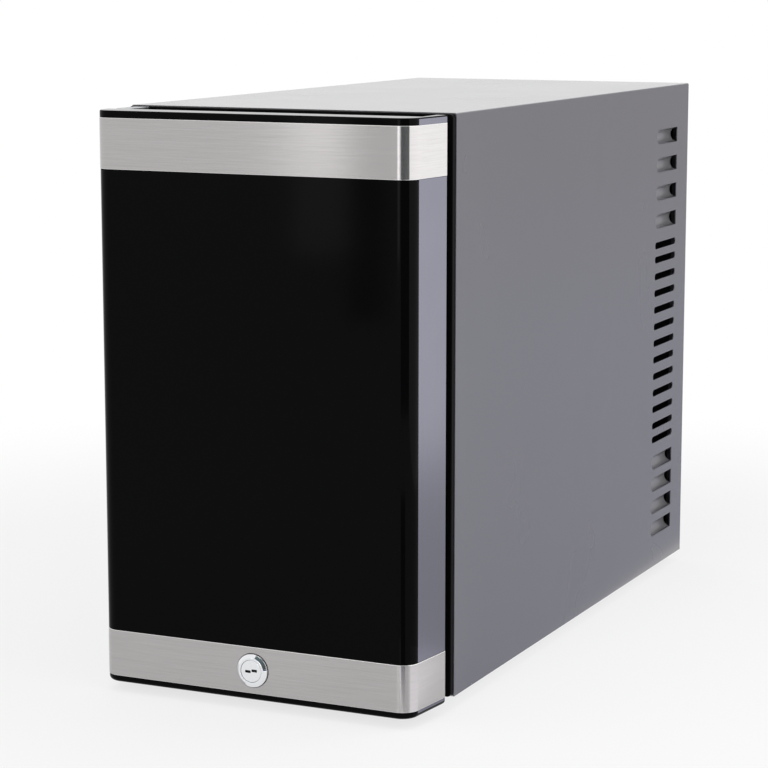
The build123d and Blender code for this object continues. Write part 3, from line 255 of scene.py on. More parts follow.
def ease(piece: Piece, width: float, segments: int = 3) -> None:
    """Round the sharp edges of a piece and shade it smooth.

    Args:
        piece: The piece.
        width: Width of the rounding.
        segments: Steps in the rounding.
    """
    apply_modifier(piece, "BEVEL", width=width, segments=segments, limit_method="ANGLE",
                   angle_limit=SMOOTH_ANGLE, use_clamp_overlap=True, miter_outer="MITER_ARC")
    with editing(piece):
        turn_outwards()
    focus(piece)
    bpy.ops.object.shade_smooth_by_angle(angle=SMOOTH_ANGLE)
    apply_modifier(piece, "WEIGHTED_NORMAL", mode="FACE_AREA", weight=100, keep_sharp=True)


def repeat(piece: Piece, places: Sequence[Vector]) -> None:
    """Copy a piece from the first place to the others, and join the copies to it.

    Args:
        piece: The piece, at the first place.
        places: All its places.
    """
    copies = []
    for place in places[1:]:
        focus(piece)
        bpy.ops.object.duplicate()
        copies.append(bpy.context.active_object)
        bpy.ops.transform.translate(value=place - places[0])
        bpy.ops.object.transform_apply()
    focus(piece)
    for copy in copies:
        copy.select_set(True)
    if copies:
        bpy.ops.object.join()


def settle(piece: Piece, body: str, node: str) -> None:
    """Let a finished piece ride on its body and stand for its node, and report it.

    Args:
        piece: The piece.
        body: The body that it rides on.
        node: The construction node that it stands for.
    """
    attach(piece, body)
    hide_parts(node)
    LOG.info("piece %s for %s", piece.name, node)


def put(thing: Piece) -> Piece:
    """Put a new light, card or camera into the scene."""
    bpy.context.scene.collection.objects.link(thing)
    return thing


class NodeSketch:
    """Places and wires the nodes of one material, world or node group."""

    def __init__(self, tree: NodeTree) -> None:
        """Start on an empty tree."""
        self.tree = tree
        tree.nodes.clear()

    def feed(self, socket: Socket, value: object) -> None:
        """Wire an input to another node, or set its value.

        Args:
            socket: The input.
            value: The other node's output, or a value, of three parts for a colour.
        """
        if isinstance(value, Socket):
            self.tree.links.new(value, socket)
        else:
            socket.default_value = (*value, 1) if socket.type == "RGBA" else value

    def add(self, kind: str, inputs: dict[str | int, object] | None = None, **settings: object) -> Node:
        """Add a node.

        Args:
            kind: Blender's name for the node.
            inputs: Values or sockets for its inputs.
            settings: Values of the node itself.

        Returns:
            The new node.
        """
        node = self.tree.nodes.new(kind)
        for key, value in settings.items():
            setattr(node, key, value)
        for socket, value in (inputs or {}).items():
            self.feed(node.inputs[socket], value)
        return node

    def blend(self, amount: Socket, first: Colour | Socket, second: Colour | Socket) -> Socket:
        """Blend two colours.

        Args:
            amount: Share of the second colour.
            first: First colour.
            second: Second colour.

        Returns:
            The socket with the blended colour.
        """
        mix = self.add("ShaderNodeMix", {"Factor": amount}, data_type="RGBA")
        colours = [socket for socket in mix.inputs if socket.type == "RGBA"]
        for socket, colour in zip(colours, (first, second)):
            self.feed(socket, colour)
        return next(socket for socket in mix.outputs if socket.type == "RGBA")

    def compute(self, operation: str, *values: Socket | float) -> Socket:
        """Do one step of arithmetic."""
        return self.add("ShaderNodeMath", dict(enumerate(values)), operation=operation).outputs[0]

    def spread(self, value: Socket, low: float, high: float, start: float = 0.0, end: float = 1.0,
               kind: str = "LINEAR") -> Socket:
        """Map a value's range from start to end onto the range from low to high."""
        ends = {"Value": value, "From Min": start, "From Max": end, "To Min": low, "To Max": high}
        return self.add("ShaderNodeMapRange", ends, interpolation_type=kind).outputs["Result"]

    def background_mask(self) -> Socket:
        """Mask the rays that see the white background: the camera's, and those in gloss and glass.

        Returns:
            The socket with the mask.
        """
        path = self.add("ShaderNodeLightPath").outputs
        seen = self.compute("MAXIMUM", path["Is Camera Ray"], path["Is Glossy Ray"])
        return self.compute("MAXIMUM", seen, path["Is Transmission Ray"])


def new_material(name: str) -> tuple[Material, NodeSketch, Socket]:
    """Start a material on Object coordinates.

    Args:
        name: Name of the material.

    Returns:
        The material, its nodes and the socket with the place on the piece.
    """
    material = bpy.data.materials.new(name)
    material.use_nodes = True
    sketch = NodeSketch(material.node_tree)
    return material, sketch, sketch.add("ShaderNodeTexCoord").outputs["Object"]


@dataclass(frozen=True)
class Texture:
    """A node group that more than one finish uses: noise, which may be drawn out along the level.

    A second output is the height: the noise again, or cells.
    """

    name: str
    outputs: tuple[str, ...]
    detail: float
    roughness: float = 0.5
    distortion: float = 0.0
    drawn: bool = False
    cells: bool = False

    @cache
    def group(self) -> NodeTree:
        """Make the group, once for all finishes.

        Returns:
            The group.
        """
        tree = bpy.data.node_groups.new(self.name, "ShaderNodeTree")
        tree.interface.new_socket(name="Vector", in_out="INPUT", socket_type="NodeSocketVector")
        for socket in ("Scale", "Drawn") if self.drawn else ("Scale",):
            tree.interface.new_socket(name=socket, in_out="INPUT", socket_type="NodeSocketFloat")
        for socket in self.outputs:
            tree.interface.new_socket(name=socket, in_out="OUTPUT", socket_type="NodeSocketFloat")
        sketch = NodeSketch(tree)
        source = sketch.add("NodeGroupInput").outputs
        place = {"Vector": source["Vector"], "Scale": source["Scale"]}
        if self.drawn:
            along = sketch.add("ShaderNodeCombineXYZ", {"X": source["Drawn"], "Y": source["Drawn"], "Z": 1.0})
            place["Vector"] = sketch.add("ShaderNodeVectorMath", {0: source["Vector"], 1: along.outputs[0]},
                                         operation="MULTIPLY").outputs[0]
        noise = sketch.add("ShaderNodeTexNoise", {**place, "Detail": self.detail, "Roughness": self.roughness,
                                                  "Distortion": self.distortion}).outputs["Fac"]
        height = sketch.add("ShaderNodeTexVoronoi", place).outputs["Distance"] if self.cells else noise
        sketch.add("NodeGroupOutput", dict(zip(self.outputs, (noise, height))))
        return tree


GRAIN = Texture("fine_grain", ("Tone", "Height"), 3.0, cells=True)
BRUSHING = Texture("level_brushing", ("Tone", "Height"), 5.0, roughness=0.7, drawn=True)
HANDLING = Texture("handling", ("Mask",), 2.0, distortion=0.6)


@dataclass(frozen=True)
class Finish:
    """An even finish: two close tones, a range of gloss, and a fine relief."""

    name: str
    dark: Colour
    light: Colour
    smooth: float
    rough: float
    metallic: float = 0.0
    specular: float = 0.5
    bend: float = 1.5
    tint: Colour = (1.0, 1.0, 1.0)
    coat: float = 0.0
    coat_rough: float = 0.1
    grain: float = 1500.0
    patch: float = 14.0
    relief: float = 0.1
    relief_depth: float = 0.05 * MM

    def pattern(self, sketch: NodeSketch, place: Socket) -> Node:
        """Add the group that gives this finish its tone and height."""
        return sketch.add("ShaderNodeGroup", {"Vector": place, "Scale": self.grain}, node_tree=GRAIN.group())

    def colour(self, sketch: NodeSketch, place: Socket, tone: Socket) -> Socket:
        """Blend the two tones of the finish."""
        return sketch.blend(tone, self.dark, self.light)

    def shader_values(self, sketch: NodeSketch) -> dict[str, object]:
        """Give the shader's plain values."""
        return {"Metallic": self.metallic, "Specular IOR Level": self.specular, "Specular Tint": self.tint,
                "IOR": self.bend, "Coat Weight": self.coat, "Coat Roughness": self.coat_rough}

    @cache
    def material(self) -> Material:
        """Make the material, once for all pieces.

        Returns:
            The material with its nodes.
        """
        material, sketch, place = new_material(self.name)
        pattern = self.pattern(sketch, place).outputs
        wear = sketch.add("ShaderNodeGroup", {"Vector": place, "Scale": self.patch},
                          node_tree=HANDLING.group()).outputs["Mask"]
        bump = sketch.add("ShaderNodeBump", {"Strength": self.relief, "Distance": self.relief_depth,
                                             "Height": pattern["Height"]})
        shader = sketch.add("ShaderNodeBsdfPrincipled", {
            "Base Color": self.colour(sketch, place, pattern["Tone"]),
            "Roughness": sketch.spread(wear, self.smooth, self.rough),
            "Normal": bump.outputs["Normal"],
            **self.shader_values(sketch),
        })
        sketch.add("ShaderNodeOutputMaterial", {"Surface": shader.outputs["BSDF"]})
        return material


@dataclass(frozen=True)
class BrushedFinish(Finish):
    """Sheet brushed along the level, so that its gloss spreads up and down."""

    drawn: float = 0.012
    stretch: float = 0.85
    upright: float = 0.25

    def pattern(self, sketch: NodeSketch, place: Socket) -> Node:
        """Add the brushing group."""
        values = {"Vector": place, "Scale": self.grain, "Drawn": self.drawn}
        return sketch.add("ShaderNodeGroup", values, node_tree=BRUSHING.group())

    def shader_values(self, sketch: NodeSketch) -> dict[str, object]:
        """Give the shader's plain values, with the gloss drawn upright."""
        tangent = sketch.add("ShaderNodeTangent", direction_type="RADIAL", axis="Z").outputs["Tangent"]
        return super().shader_values(sketch) | {"Anisotropic": self.stretch, "Tangent": tangent,
                                                "Anisotropic Rotation": self.upright}


@dataclass(frozen=True)
class PaintWithPaintedLight(Finish):
    """Paint on the cabinet's sheet, with painted light where the press has drawn the sides in: a lighter
    colour that lifts the shade in the pressings.
    """

    # Painted light: the lighter colour that the pressings take in place of their shade.
    painted_light: Colour = (0.2, 0.198, 0.21)
    skin: float = 0.5 * MM
    deep: float = 3.4 * MM
    below_top: float = 26 * MM

    def colour(self, sketch: NodeSketch, place: Socket, tone: Socket) -> Socket:
        """Blend the two tones, and lighten them in the pressings of the sides as painted light over the shade
        there.

        Args:
            sketch: The material's nodes.
            place: Socket with the place on the piece.
            tone: Share of the light tone.

        Returns:
            The socket with the colour.
        """
        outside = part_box("cabinet_sheet")[1]
        parts = sketch.add("ShaderNodeSeparateXYZ", {"Vector": place}).outputs
        painted_light_by_depth = sketch.spread(sketch.compute("ABSOLUTE", parts["X"]), 1.0, 0.0,
                                 outside.x - self.deep, outside.x - self.skin)
        on_side = sketch.compute("LESS_THAN", parts["Z"], outside.z - self.below_top)
        # Share of the painted light: deep in a pressing, below the roof.
        share = sketch.compute("MULTIPLY", painted_light_by_depth, on_side)
        return sketch.blend(share, super().colour(sketch, place, tone), self.painted_light)


@dataclass(frozen=True)
class ClearFinish(Finish):
    """Clear moulded plastic."""

    clarity: float = 0.85

    def shader_values(self, sketch: NodeSketch) -> dict[str, object]:
        """Give the shader's plain values, and let light through."""
        return super().shader_values(sketch) | {"Transmission Weight": self.clarity}


FINISHES: dict[str, Finish] = {finish.name: finish for finish in (
    # The cabinet's paint, with painted light in the pressings of its sides.
    PaintWithPaintedLight("silver_paint", shade(88, 87, 93), shade(100, 99, 105), 0.22, 0.3, specular=0.4, coat=0.75,
                 coat_rough=0.2, grain=2600, relief=0.05),
    Finish("black_gloss_front", (0.0016, 0.0016, 0.0019), (0.0021, 0.0021, 0.0024), 0.05, 0.09,
           specular=0.036, grain=400, relief=0.01),
    Finish("black_gloss_flank", shade(18, 18, 23), shade(21, 21, 26), 0.2, 0.26, specular=1.0, bend=1.8,
           tint=(0.79, 0.785, 1.0), grain=400, relief=0.01),
    BrushedFinish("brushed_band", (0.36, 0.345, 0.345), (0.5, 0.485, 0.485), 0.19, 0.23, metallic=1.0,
                  grain=2200, relief=0.05, stretch=0.97),
    # Painted highlight: a brighter, smoother metal for the rounded edges of the bands.
    Finish("painted_highlight_edge", (0.74, 0.73, 0.72), (0.86, 0.85, 0.84), 0.12, 0.18, metallic=1.0, grain=1600,
           relief=0.02),
    Finish("lock_chrome", shade(228, 230, 233), shade(238, 240, 242), 0.05, 0.08, metallic=1.0, grain=700,
           relief=0.01),
    # Painted shade: a darker, duller black than the black plastic, for the front frame in the gap behind the
    # door and the washer round the lock.
    Finish("painted_shade_plastic", shade(7, 7, 8), shade(10, 10, 11), 0.4, 0.48, specular=0.04, grain=2400,
           relief=0.2),
    Finish("black_plastic", shade(10, 10, 11), shade(14, 14, 15), 0.34, 0.42, specular=0.16, grain=2400,
           relief=0.2),
    Finish("black_paint", shade(22, 22, 23), shade(30, 30, 31), 0.45, 0.55, grain=1800, relief=0.3),
    Finish("zinc_sheet", shade(150, 154, 158), shade(190, 193, 196), 0.3, 0.42, metallic=1.0, grain=220,
           relief=0.03),
    Finish("bright_screw", shade(176, 177, 178), shade(204, 205, 205), 0.22, 0.32, metallic=1.0, grain=900,
           relief=0.04),
    Finish("foot_rubber", shade(24, 24, 24), shade(34, 34, 34), 0.7, 0.82, specular=0.35, grain=2200,
           relief=0.4),
    Finish("seal_rubber", shade(30, 30, 31), shade(40, 40, 41), 0.55, 0.66, specular=0.4, grain=1800,
           relief=0.2),
    Finish("foam", shade(226, 216, 178), shade(238, 229, 196), 0.85, 0.95, specular=0.2, grain=700,
           relief=0.6, relief_depth=0.3 * MM),
    Finish("liner_plastic", shade(206, 207, 208), shade(214, 215, 216), 0.34, 0.42, grain=1600, relief=0.08),
    Finish("button_plastic", shade(70, 72, 75), shade(80, 82, 85), 0.36, 0.44, grain=2000),
    ClearFinish("lens_plastic", shade(240, 244, 246), shade(250, 252, 252), 0.2, 0.28, grain=500, relief=0.3,
                relief_depth=0.2 * MM),
    Finish("bush_nylon", shade(222, 219, 208), shade(232, 229, 219), 0.4, 0.5, grain=1200),
    Finish("shelf_chrome", shade(196, 198, 200), shade(216, 218, 219), 0.08, 0.14, metallic=1.0, grain=900,
           relief=0.02),
    BrushedFinish("aluminium", (0.52, 0.525, 0.53), (0.66, 0.665, 0.67), 0.32, 0.4, metallic=1.0, grain=900,
                  stretch=0.4),
    Finish("module_ceramic", shade(226, 226, 222), shade(238, 238, 235), 0.5, 0.6, grain=800),
    Finish("board", shade(18, 74, 44), shade(28, 92, 56), 0.3, 0.4, coat=0.3, grain=260),
    Finish("transformer", shade(196, 160, 52), shade(214, 178, 66), 0.45, 0.55, grain=500),
    Finish("capacitor_sleeve", shade(24, 34, 64), shade(32, 44, 78), 0.3, 0.38, grain=400),
    Finish("lead_sleeve", shade(20, 20, 21), shade(28, 28, 29), 0.48, 0.56, grain=900),
    Finish("contact_brass", (0.6, 0.46, 0.2), (0.7, 0.55, 0.26), 0.22, 0.3, metallic=1.0, grain=700),
)}
# The front frame is black plastic, darkened further as painted shade in the gap behind the door.
OWN_FINISH = {"front_frame": "painted_shade_plastic"}


def dress(piece: Piece, *finishes: str) -> None:
    """Put finishes on a piece in place of the materials that it has.

    Args:
        piece: The piece.
        finishes: Names of its finishes, in order.
    """
    piece.data.materials.clear()
    for name in finishes:
        piece.data.materials.append(FINISHES[name].material())


def dress_nodes() -> None:
    """Dress every construction node that still shows, by the slot that it was packed with."""
    for name, node in sorted(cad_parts.items()):
        if node.hide_render:
            continue
        slots = [material.name for material in node.data.materials]
        for place, slot in enumerate(slots):
            node.material_slots[place].material = FINISHES[OWN_FINISH.get(name, slot)].material()
        LOG.info("node %s in %s", name, ", ".join(slots))


@dataclass
class DoorFront:
    """The door's wrapped shell, its two bands and its two caps."""

    body: str = "door"
    flare: float = math.radians(6.3)
    corner: float = 12 * MM
    corner_steps: int = 24
    wall: float = 2.5 * MM
    band_sheet: float = 0.7 * MM
    band_proud: float = 0.25 * MM
    band_gap: float = 0.1 * MM
    cap_rim: float = 5 * MM
    plug_gap: float = 0.2 * MM
    plug_wall: float = 3 * MM
    plug_rear: float = 2.4 * MM
    top_edge: float = 1 * MM
    bottom_edge: float = 3 * MM
    shell_edge: float = 0.2 * MM
    band_edge: float = 0.3 * MM
    recess_gap: float = 1 * MM
    recess_depth: float = 3.1 * MM
    recess_swing: float = math.radians(20)
    cap_step: float = 2.6 * MM
    cap_ledge: float = 22 * MM
    cap_side: float = 7 * MM
    barrel_hole: float = 9.45 * MM
    bush_gap: float = 0.1 * MM
    bush_sides: int = 48
    bush_bore: float = 40 * MM
    flank_facing: float = 0.9925
    level_facing: float = 0.15
    upright_facing: float = 0.99

    def __post_init__(self) -> None:
        """Read the door's place from the construction model."""
        self.low, self.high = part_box("door_skin")
        self.front, self.rear, self.half = self.low.y, self.high.y, self.high.x
        lock_low, lock_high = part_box("lock_body")
        self.lock = (lock_low + lock_high) / 2

    def half_at(self, depth: float, inset: float) -> float:
        """Give half the door's width at a depth, set in from its flank."""
        return self.half - (self.rear - depth) * math.tan(self.flare) - inset / math.cos(self.flare)

    def prism(self, name: str, inset: float, low: float, high: float, rear: float) -> Piece:
        """Make a block of the door's plan with round front corners.

        Args:
            name: Name of the piece.
            inset: How far it is set in from the front and the flanks.
            low: Its lower level.
            high: Its upper level.
            rear: Depth at which it ends.

        Returns:
            The new block.
        """
        front = self.front + inset
        rear_half = self.half_at(rear, inset)
        piece = block(name, (-rear_half, front, low), (rear_half, rear, high))
        taper = self.half_at(front, inset) / rear_half
        turn = QUARTER_TURN - self.flare
        with editing(piece):
            pick(piece, Element.FACE, looking(0, -1, 0))
            bpy.ops.transform.resize(value=(taper, 1, 1), center_override=(0, front, (low + high) / 2))
            pick(piece, Element.EDGE, lambda edge: runs_along(edge, "z") and lies_at(edge, "y", front))
            round_off((self.corner - inset) * math.tan(turn / 2), self.corner_steps)
        return piece

    def bore(self, piece: Piece) -> None:
        """Bore a piece for the lock's barrel."""
        start = (self.lock.x, self.front - CLEAR, self.lock.z)
        work(piece, bar("bore", self.barrel_hole, start, self.front + self.wall + CLEAR))

    def split_gloss(self, piece: Piece) -> None:
        """Give a black piece its front gloss, and the stronger gloss of its flanks.

        Args:
            piece: The black piece.
        """
        dress(piece, "black_gloss_front", "black_gloss_flank")
        for face in piece.data.polygons:
            face.material_index = int(abs(face.normal.x) > self.flank_facing)

    def build_skin(self) -> None:
        """Build the wrapped shell, stepped in behind both bands."""
        skin = self.prism("door_shell", 0, self.low.z, self.high.z, self.rear)
        step = self.band_sheet - self.band_proud + self.band_gap
        for band in ("door_band_top", "door_band_bottom"):
            low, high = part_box(band)
            groove = self.prism("groove", -CLEAR / 2, low.z, high.z, self.rear + CLEAR)
            work(groove, self.prism("keep", step, low.z - CLEAR, high.z + CLEAR, self.rear + 2 * CLEAR))
            work(skin, groove)
        work(skin, self.prism("room", self.wall, self.low.z - CLEAR, self.high.z + CLEAR, self.rear + CLEAR))
        self.bore(skin)
        ease(skin, self.shell_edge)
        self.split_gloss(skin)
        settle(skin, self.body, "door_skin")

    def build_band(self, node: str) -> None:
        """Build one brushed band whose rounded edges carry a painted highlight.

        Args:
            node: The band's construction node.
        """
        low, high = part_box(node)
        band = self.prism(f"{node}_sheet", -self.band_proud, low.z, high.z, self.rear)
        inner = self.band_sheet - self.band_proud
        work(band, self.prism("inside", inner, low.z - CLEAR, high.z + CLEAR, self.rear + CLEAR))
        if low.z < self.lock.z < high.z:
            self.bore(band)
        ease(band, self.band_edge)
        # The rounded edges take the brighter metal of the painted highlight.
        dress(band, "brushed_band", "painted_highlight_edge")
        for face in band.data.polygons:
            face.material_index = int(self.level_facing < abs(face.normal.z) < self.upright_facing)
        settle(band, self.body, node)

    def build_cap(self, node: str, top: bool) -> None:
        """Build one cap: a rounded rim, a hollow plug and the recess for the hinge bracket.

        Args:
            node: The cap's construction node.
            top: Whether it is the upper cap.
        """
        low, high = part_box(node)
        rim_low, rim_high = (high.z - self.cap_rim, high.z) if top else (low.z, low.z + self.cap_rim)
        plug_low, plug_high = (low.z, rim_low + self.plug_gap) if top else (rim_high - self.plug_gap, high.z)
        outer = rim_high if top else rim_low
        cap = self.prism(f"{node}_moulding", 0, rim_low, rim_high, self.rear)
        with editing(cap):
            pick(cap, Element.EDGE, lambda edge: lies_at(edge, "z", outer))
            round_off(self.top_edge if top else self.bottom_edge, EDGE_STEPS)
        inset = self.wall + self.plug_gap
        plug_end = self.rear - self.plug_rear
        plug = self.prism("plug", inset, plug_low, plug_high, plug_end)
        hollow_low, hollow_high = (plug_low - CLEAR, rim_low) if top else (rim_high, plug_high + CLEAR)
        work(plug, self.prism("hollow", inset + self.plug_wall, hollow_low, hollow_high,
                              plug_end - self.plug_wall))
        work(cap, plug, Cut.ADD)
        self.cut_hinge_room(cap, outer, top)
        if top:
            work(cap, block("step", (-2 * self.half, self.front + self.cap_ledge, outer - self.cap_step),
                            (self.half - self.cap_side, self.rear + CLEAR, outer + CLEAR)))
        ease(cap, self.shell_edge)
        self.split_gloss(cap)
        settle(cap, self.body, node)

    def cut_hinge_room(self, cap: Piece, outer: float, top: bool) -> None:
        """Cut the bracket's recess and the bush's bore out of a cap.

        Args:
            cap: The cap.
            outer: Level of its outer face.
            top: Whether it is the upper cap.
        """
        bracket_low, bracket_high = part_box("hinge_bracket_top" if top else "hinge_bracket_bottom")
        bush_low, bush_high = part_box("hinge_bushes")
        pin = (bush_low + bush_high) / 2
        bracket_half = (bracket_high.x - bracket_low.x) / 2
        reach = (bracket_half / math.cos(self.recess_swing)
                 + (pin.x + self.half) * math.tan(self.recess_swing) + self.recess_gap)
        floor = outer - self.recess_depth if top else outer + self.recess_depth
        low, high = (floor, outer + CLEAR) if top else (outer - CLEAR, floor)
        work(cap, block("recess", (-self.half - CLEAR, pin.y - reach, low),
                        (bracket_high.x + self.recess_gap, self.rear + CLEAR, high)))
        work(cap, primitive("bush_bore", bpy.ops.mesh.primitive_cylinder_add, vertices=self.bush_sides,
                            radius=(bush_high.x - bush_low.x) / 2 + self.bush_gap, depth=self.bush_bore,
                            location=(pin.x, pin.y, floor)))

    def build(self) -> None:
        """Build and dress the shell, the bands and the caps."""
        self.build_skin()
        self.build_band("door_band_top")
        self.build_band("door_band_bottom")
        self.build_cap("door_cap_top", True)
        self.build_cap("door_cap_bottom", False)


@dataclass
class CamLock:
    """The lock in the bottom band: a bevelled ring on a barrel, and the plug with its keyway."""

    bevel: float = 2.2 * MM
    bevel_depth: float = 1.6 * MM
    head_radius: float = 7.8 * MM
    head_length: float = 6 * MM
    shaft_radius: float = 6 * MM
    play: float = 0.2 * MM
    barrel_radius: float = 9.25 * MM
    seat: float = 2.75 * MM
    # The black washer under the ring is painted shade: it stands for the shadow line around the ring.
    shadow_washer: float = 0.45 * MM
    shadow_washer_edge: float = 0.045 * MM
    shadow_washer_lip: float = 0.5 * MM
    tang: float = 8 * MM
    tang_length: float = 2 * MM
    keyway_length: float = 9 * MM
    keyway_height: float = 1.8 * MM
    keyway_step: float = 0.9 * MM
    keyway_depth: float = 12 * MM
    ward: float = 0.9 * MM
    edge: float = 0.2 * MM

    def __post_init__(self) -> None:
        """Read the lock's place from the construction model."""
        self.low, self.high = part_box("lock_body")
        self.plug_low, self.plug_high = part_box("lock_plug")
        self.axis = (self.low + self.high) / 2
        self.ring_radius = (self.high.x - self.low.x) / 2

    def at(self, depth: float) -> Vector:
        """Give the point of the lock's axis at a depth."""
        return Vector((self.axis.x, depth, self.axis.z))

    def across(self, vert: bmesh.types.BMVert | bpy.types.MeshVertex) -> float:
        """Give a vertex's distance from the lock's axis."""
        return math.hypot(vert.co.x - self.axis.x, vert.co.z - self.axis.z)

    def build_ring(self) -> None:
        """Build the ring, its barrel and the black washer under it, which is painted shade: a dark sheet for
        the shadow line around the ring.
        """
        front, seat = self.low.y, self.low.y + self.seat
        radius = self.ring_radius - self.shadow_washer_lip
        ring = bar("lock_ring", radius, self.at(front), seat)
        with editing(ring):
            pick(ring, Element.FACE, looking(0, -1, 0))
            bpy.ops.mesh.inset(thickness=self.bevel)
            bpy.ops.mesh.inset(thickness=radius - self.bevel - self.head_radius - self.play)
            extrude(0, self.head_length, 0)
            pick(ring, Element.VERTEX, lambda vert: self.across(vert) > radius - self.bevel / 2
                 and vert.co.y < front + CLOSE)
            bpy.ops.transform.translate(value=(0, self.bevel_depth, 0))
            pick(ring, Element.FACE, looking(0, 1, 0))
            bpy.ops.mesh.inset(thickness=radius - self.barrel_radius)
            extrude(0, self.high.y - seat, 0)
            slice_at(seat - self.shadow_washer)
            pick(ring, Element.FACE, lambda face: abs(face.normal.y) < SIDEWAYS
                 and seat - self.shadow_washer < face.calc_center_median().y < seat
                 and self.across(face.verts[0]) > radius - self.play)
            swell(self.shadow_washer_lip)
        bore_radius = self.shaft_radius + self.play
        work(ring, bar("shaft_bore", bore_radius, self.at(front - CLEAR), self.high.y + CLEAR))
        ease(ring, self.edge)
        dress(ring, "lock_chrome", "painted_shade_plastic")
        # The washer's faces take the painted shade black.
        shadow_washer_front = seat - self.shadow_washer - self.shadow_washer_edge
        for face in ring.data.polygons:
            rim = min(self.across(ring.data.vertices[vert]) for vert in face.vertices)
            face.material_index = int(rim > radius - self.play and face.center.y > shadow_washer_front)
        settle(ring, "door", "lock_body")

    def build_plug(self) -> None:
        """Build the plug with its stepped level keyway, shaft and tang."""
        front, tang_rear = self.plug_low.y, self.plug_high.y
        shaft_rear = tang_rear - self.tang_length
        head_rear = self.low.y + self.head_length - self.play
        plug = bar("lock_core_plug", self.head_radius, self.at(front), head_rear)
        with editing(plug):
            pick(plug, Element.FACE, looking(0, 1, 0))
            bpy.ops.mesh.inset(thickness=self.head_radius - self.shaft_radius)
            extrude(0, shaft_rear - head_rear, 0)
        half = Vector((self.tang / 2, 0, self.tang / 2))
        work(plug, block("tang", self.at(shaft_rear - self.play) - half, self.at(tang_rear) + half), Cut.ADD)
        reach = Vector(((self.keyway_length - self.ward) / 4, 0, self.keyway_height / 2))
        for side in (-1, 1):
            aside = Vector((side * (self.keyway_length + self.ward) / 4, 0, side * self.keyway_step / 2))
            work(plug, block("keyway", self.at(front - CLEAR) + aside - reach,
                             self.at(front + self.keyway_depth) + aside + reach))
        ease(plug, self.edge)
        dress(plug, "lock_chrome")
        settle(plug, "lock_core", "lock_plug")

    def build(self) -> None:
        """Build and dress the ring and the plug."""
        self.build_ring()
        self.build_plug()


@dataclass
class DoorSeal:
    """The door's soft gasket: a foot, a drawn-in bellows and a rounded magnet bead."""

    corner: float = 18 * MM
    corner_steps: int = 12
    width: float = 9 * MM
    foot: float = 2.6 * MM
    bead: float = 2.8 * MM
    draw: float = 1.5 * MM
    edge: float = 0.6 * MM

    def build(self) -> None:
        """Build and dress the gasket."""
        low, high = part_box("door_gasket")
        bellows_start, bellows_end = low.y + self.foot, high.y - self.bead
        seal = block("door_seal", low, high)
        with editing(seal):
            pick(seal, Element.EDGE, lambda edge: runs_along(edge, "y"))
            round_off(self.corner, self.corner_steps)
            pick(seal, Element.FACE, lambda face: abs(face.normal.y) > FACING)
            bpy.ops.mesh.inset(thickness=self.width)
            bpy.ops.mesh.bridge_edge_loops()
            slice_at(bellows_start)
            slice_at(bellows_end)
            turn_outwards()
            pick(seal, Element.FACE, lambda face: abs(face.normal.y) < SIDEWAYS
                 and bellows_start < face.calc_center_median().y < bellows_end)
            swell(-self.draw)
        ease(seal, self.edge)
        dress(seal, "seal_rubber")
        settle(seal, "door", "door_gasket")


@dataclass
class StandingFeet:
    """Four tapered rubber feet with a recess for the screw."""

    radius: float = 13 * MM
    tip: float = 10 * MM
    recess_radius: float = 4.2 * MM
    recess: float = 4 * MM
    edge: float = 0.8 * MM
    sides: int = 64

    def build(self) -> None:
        """Build one foot, copy it to its four places and dress it."""
        low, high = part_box("feet")
        columns = (low.x + self.radius, high.x - self.radius)
        rows = (low.y + self.radius, high.y - self.radius)
        places = [Vector((x, y, high.z / 2)) for x in columns for y in rows]
        foot = primitive("rubber_feet", bpy.ops.mesh.primitive_cone_add, vertices=self.sides,
                         radius1=self.tip, radius2=self.radius, depth=high.z, location=places[0])
        with editing(foot):
            pick(foot, Element.FACE, looking(0, 0, -1))
            bpy.ops.mesh.inset(thickness=self.tip - self.recess_radius)
            extrude(0, 0, self.recess)
        ease(foot, self.edge)
        repeat(foot, places)
        dress(foot, "foot_rubber")
        settle(foot, "cabinet", "feet")


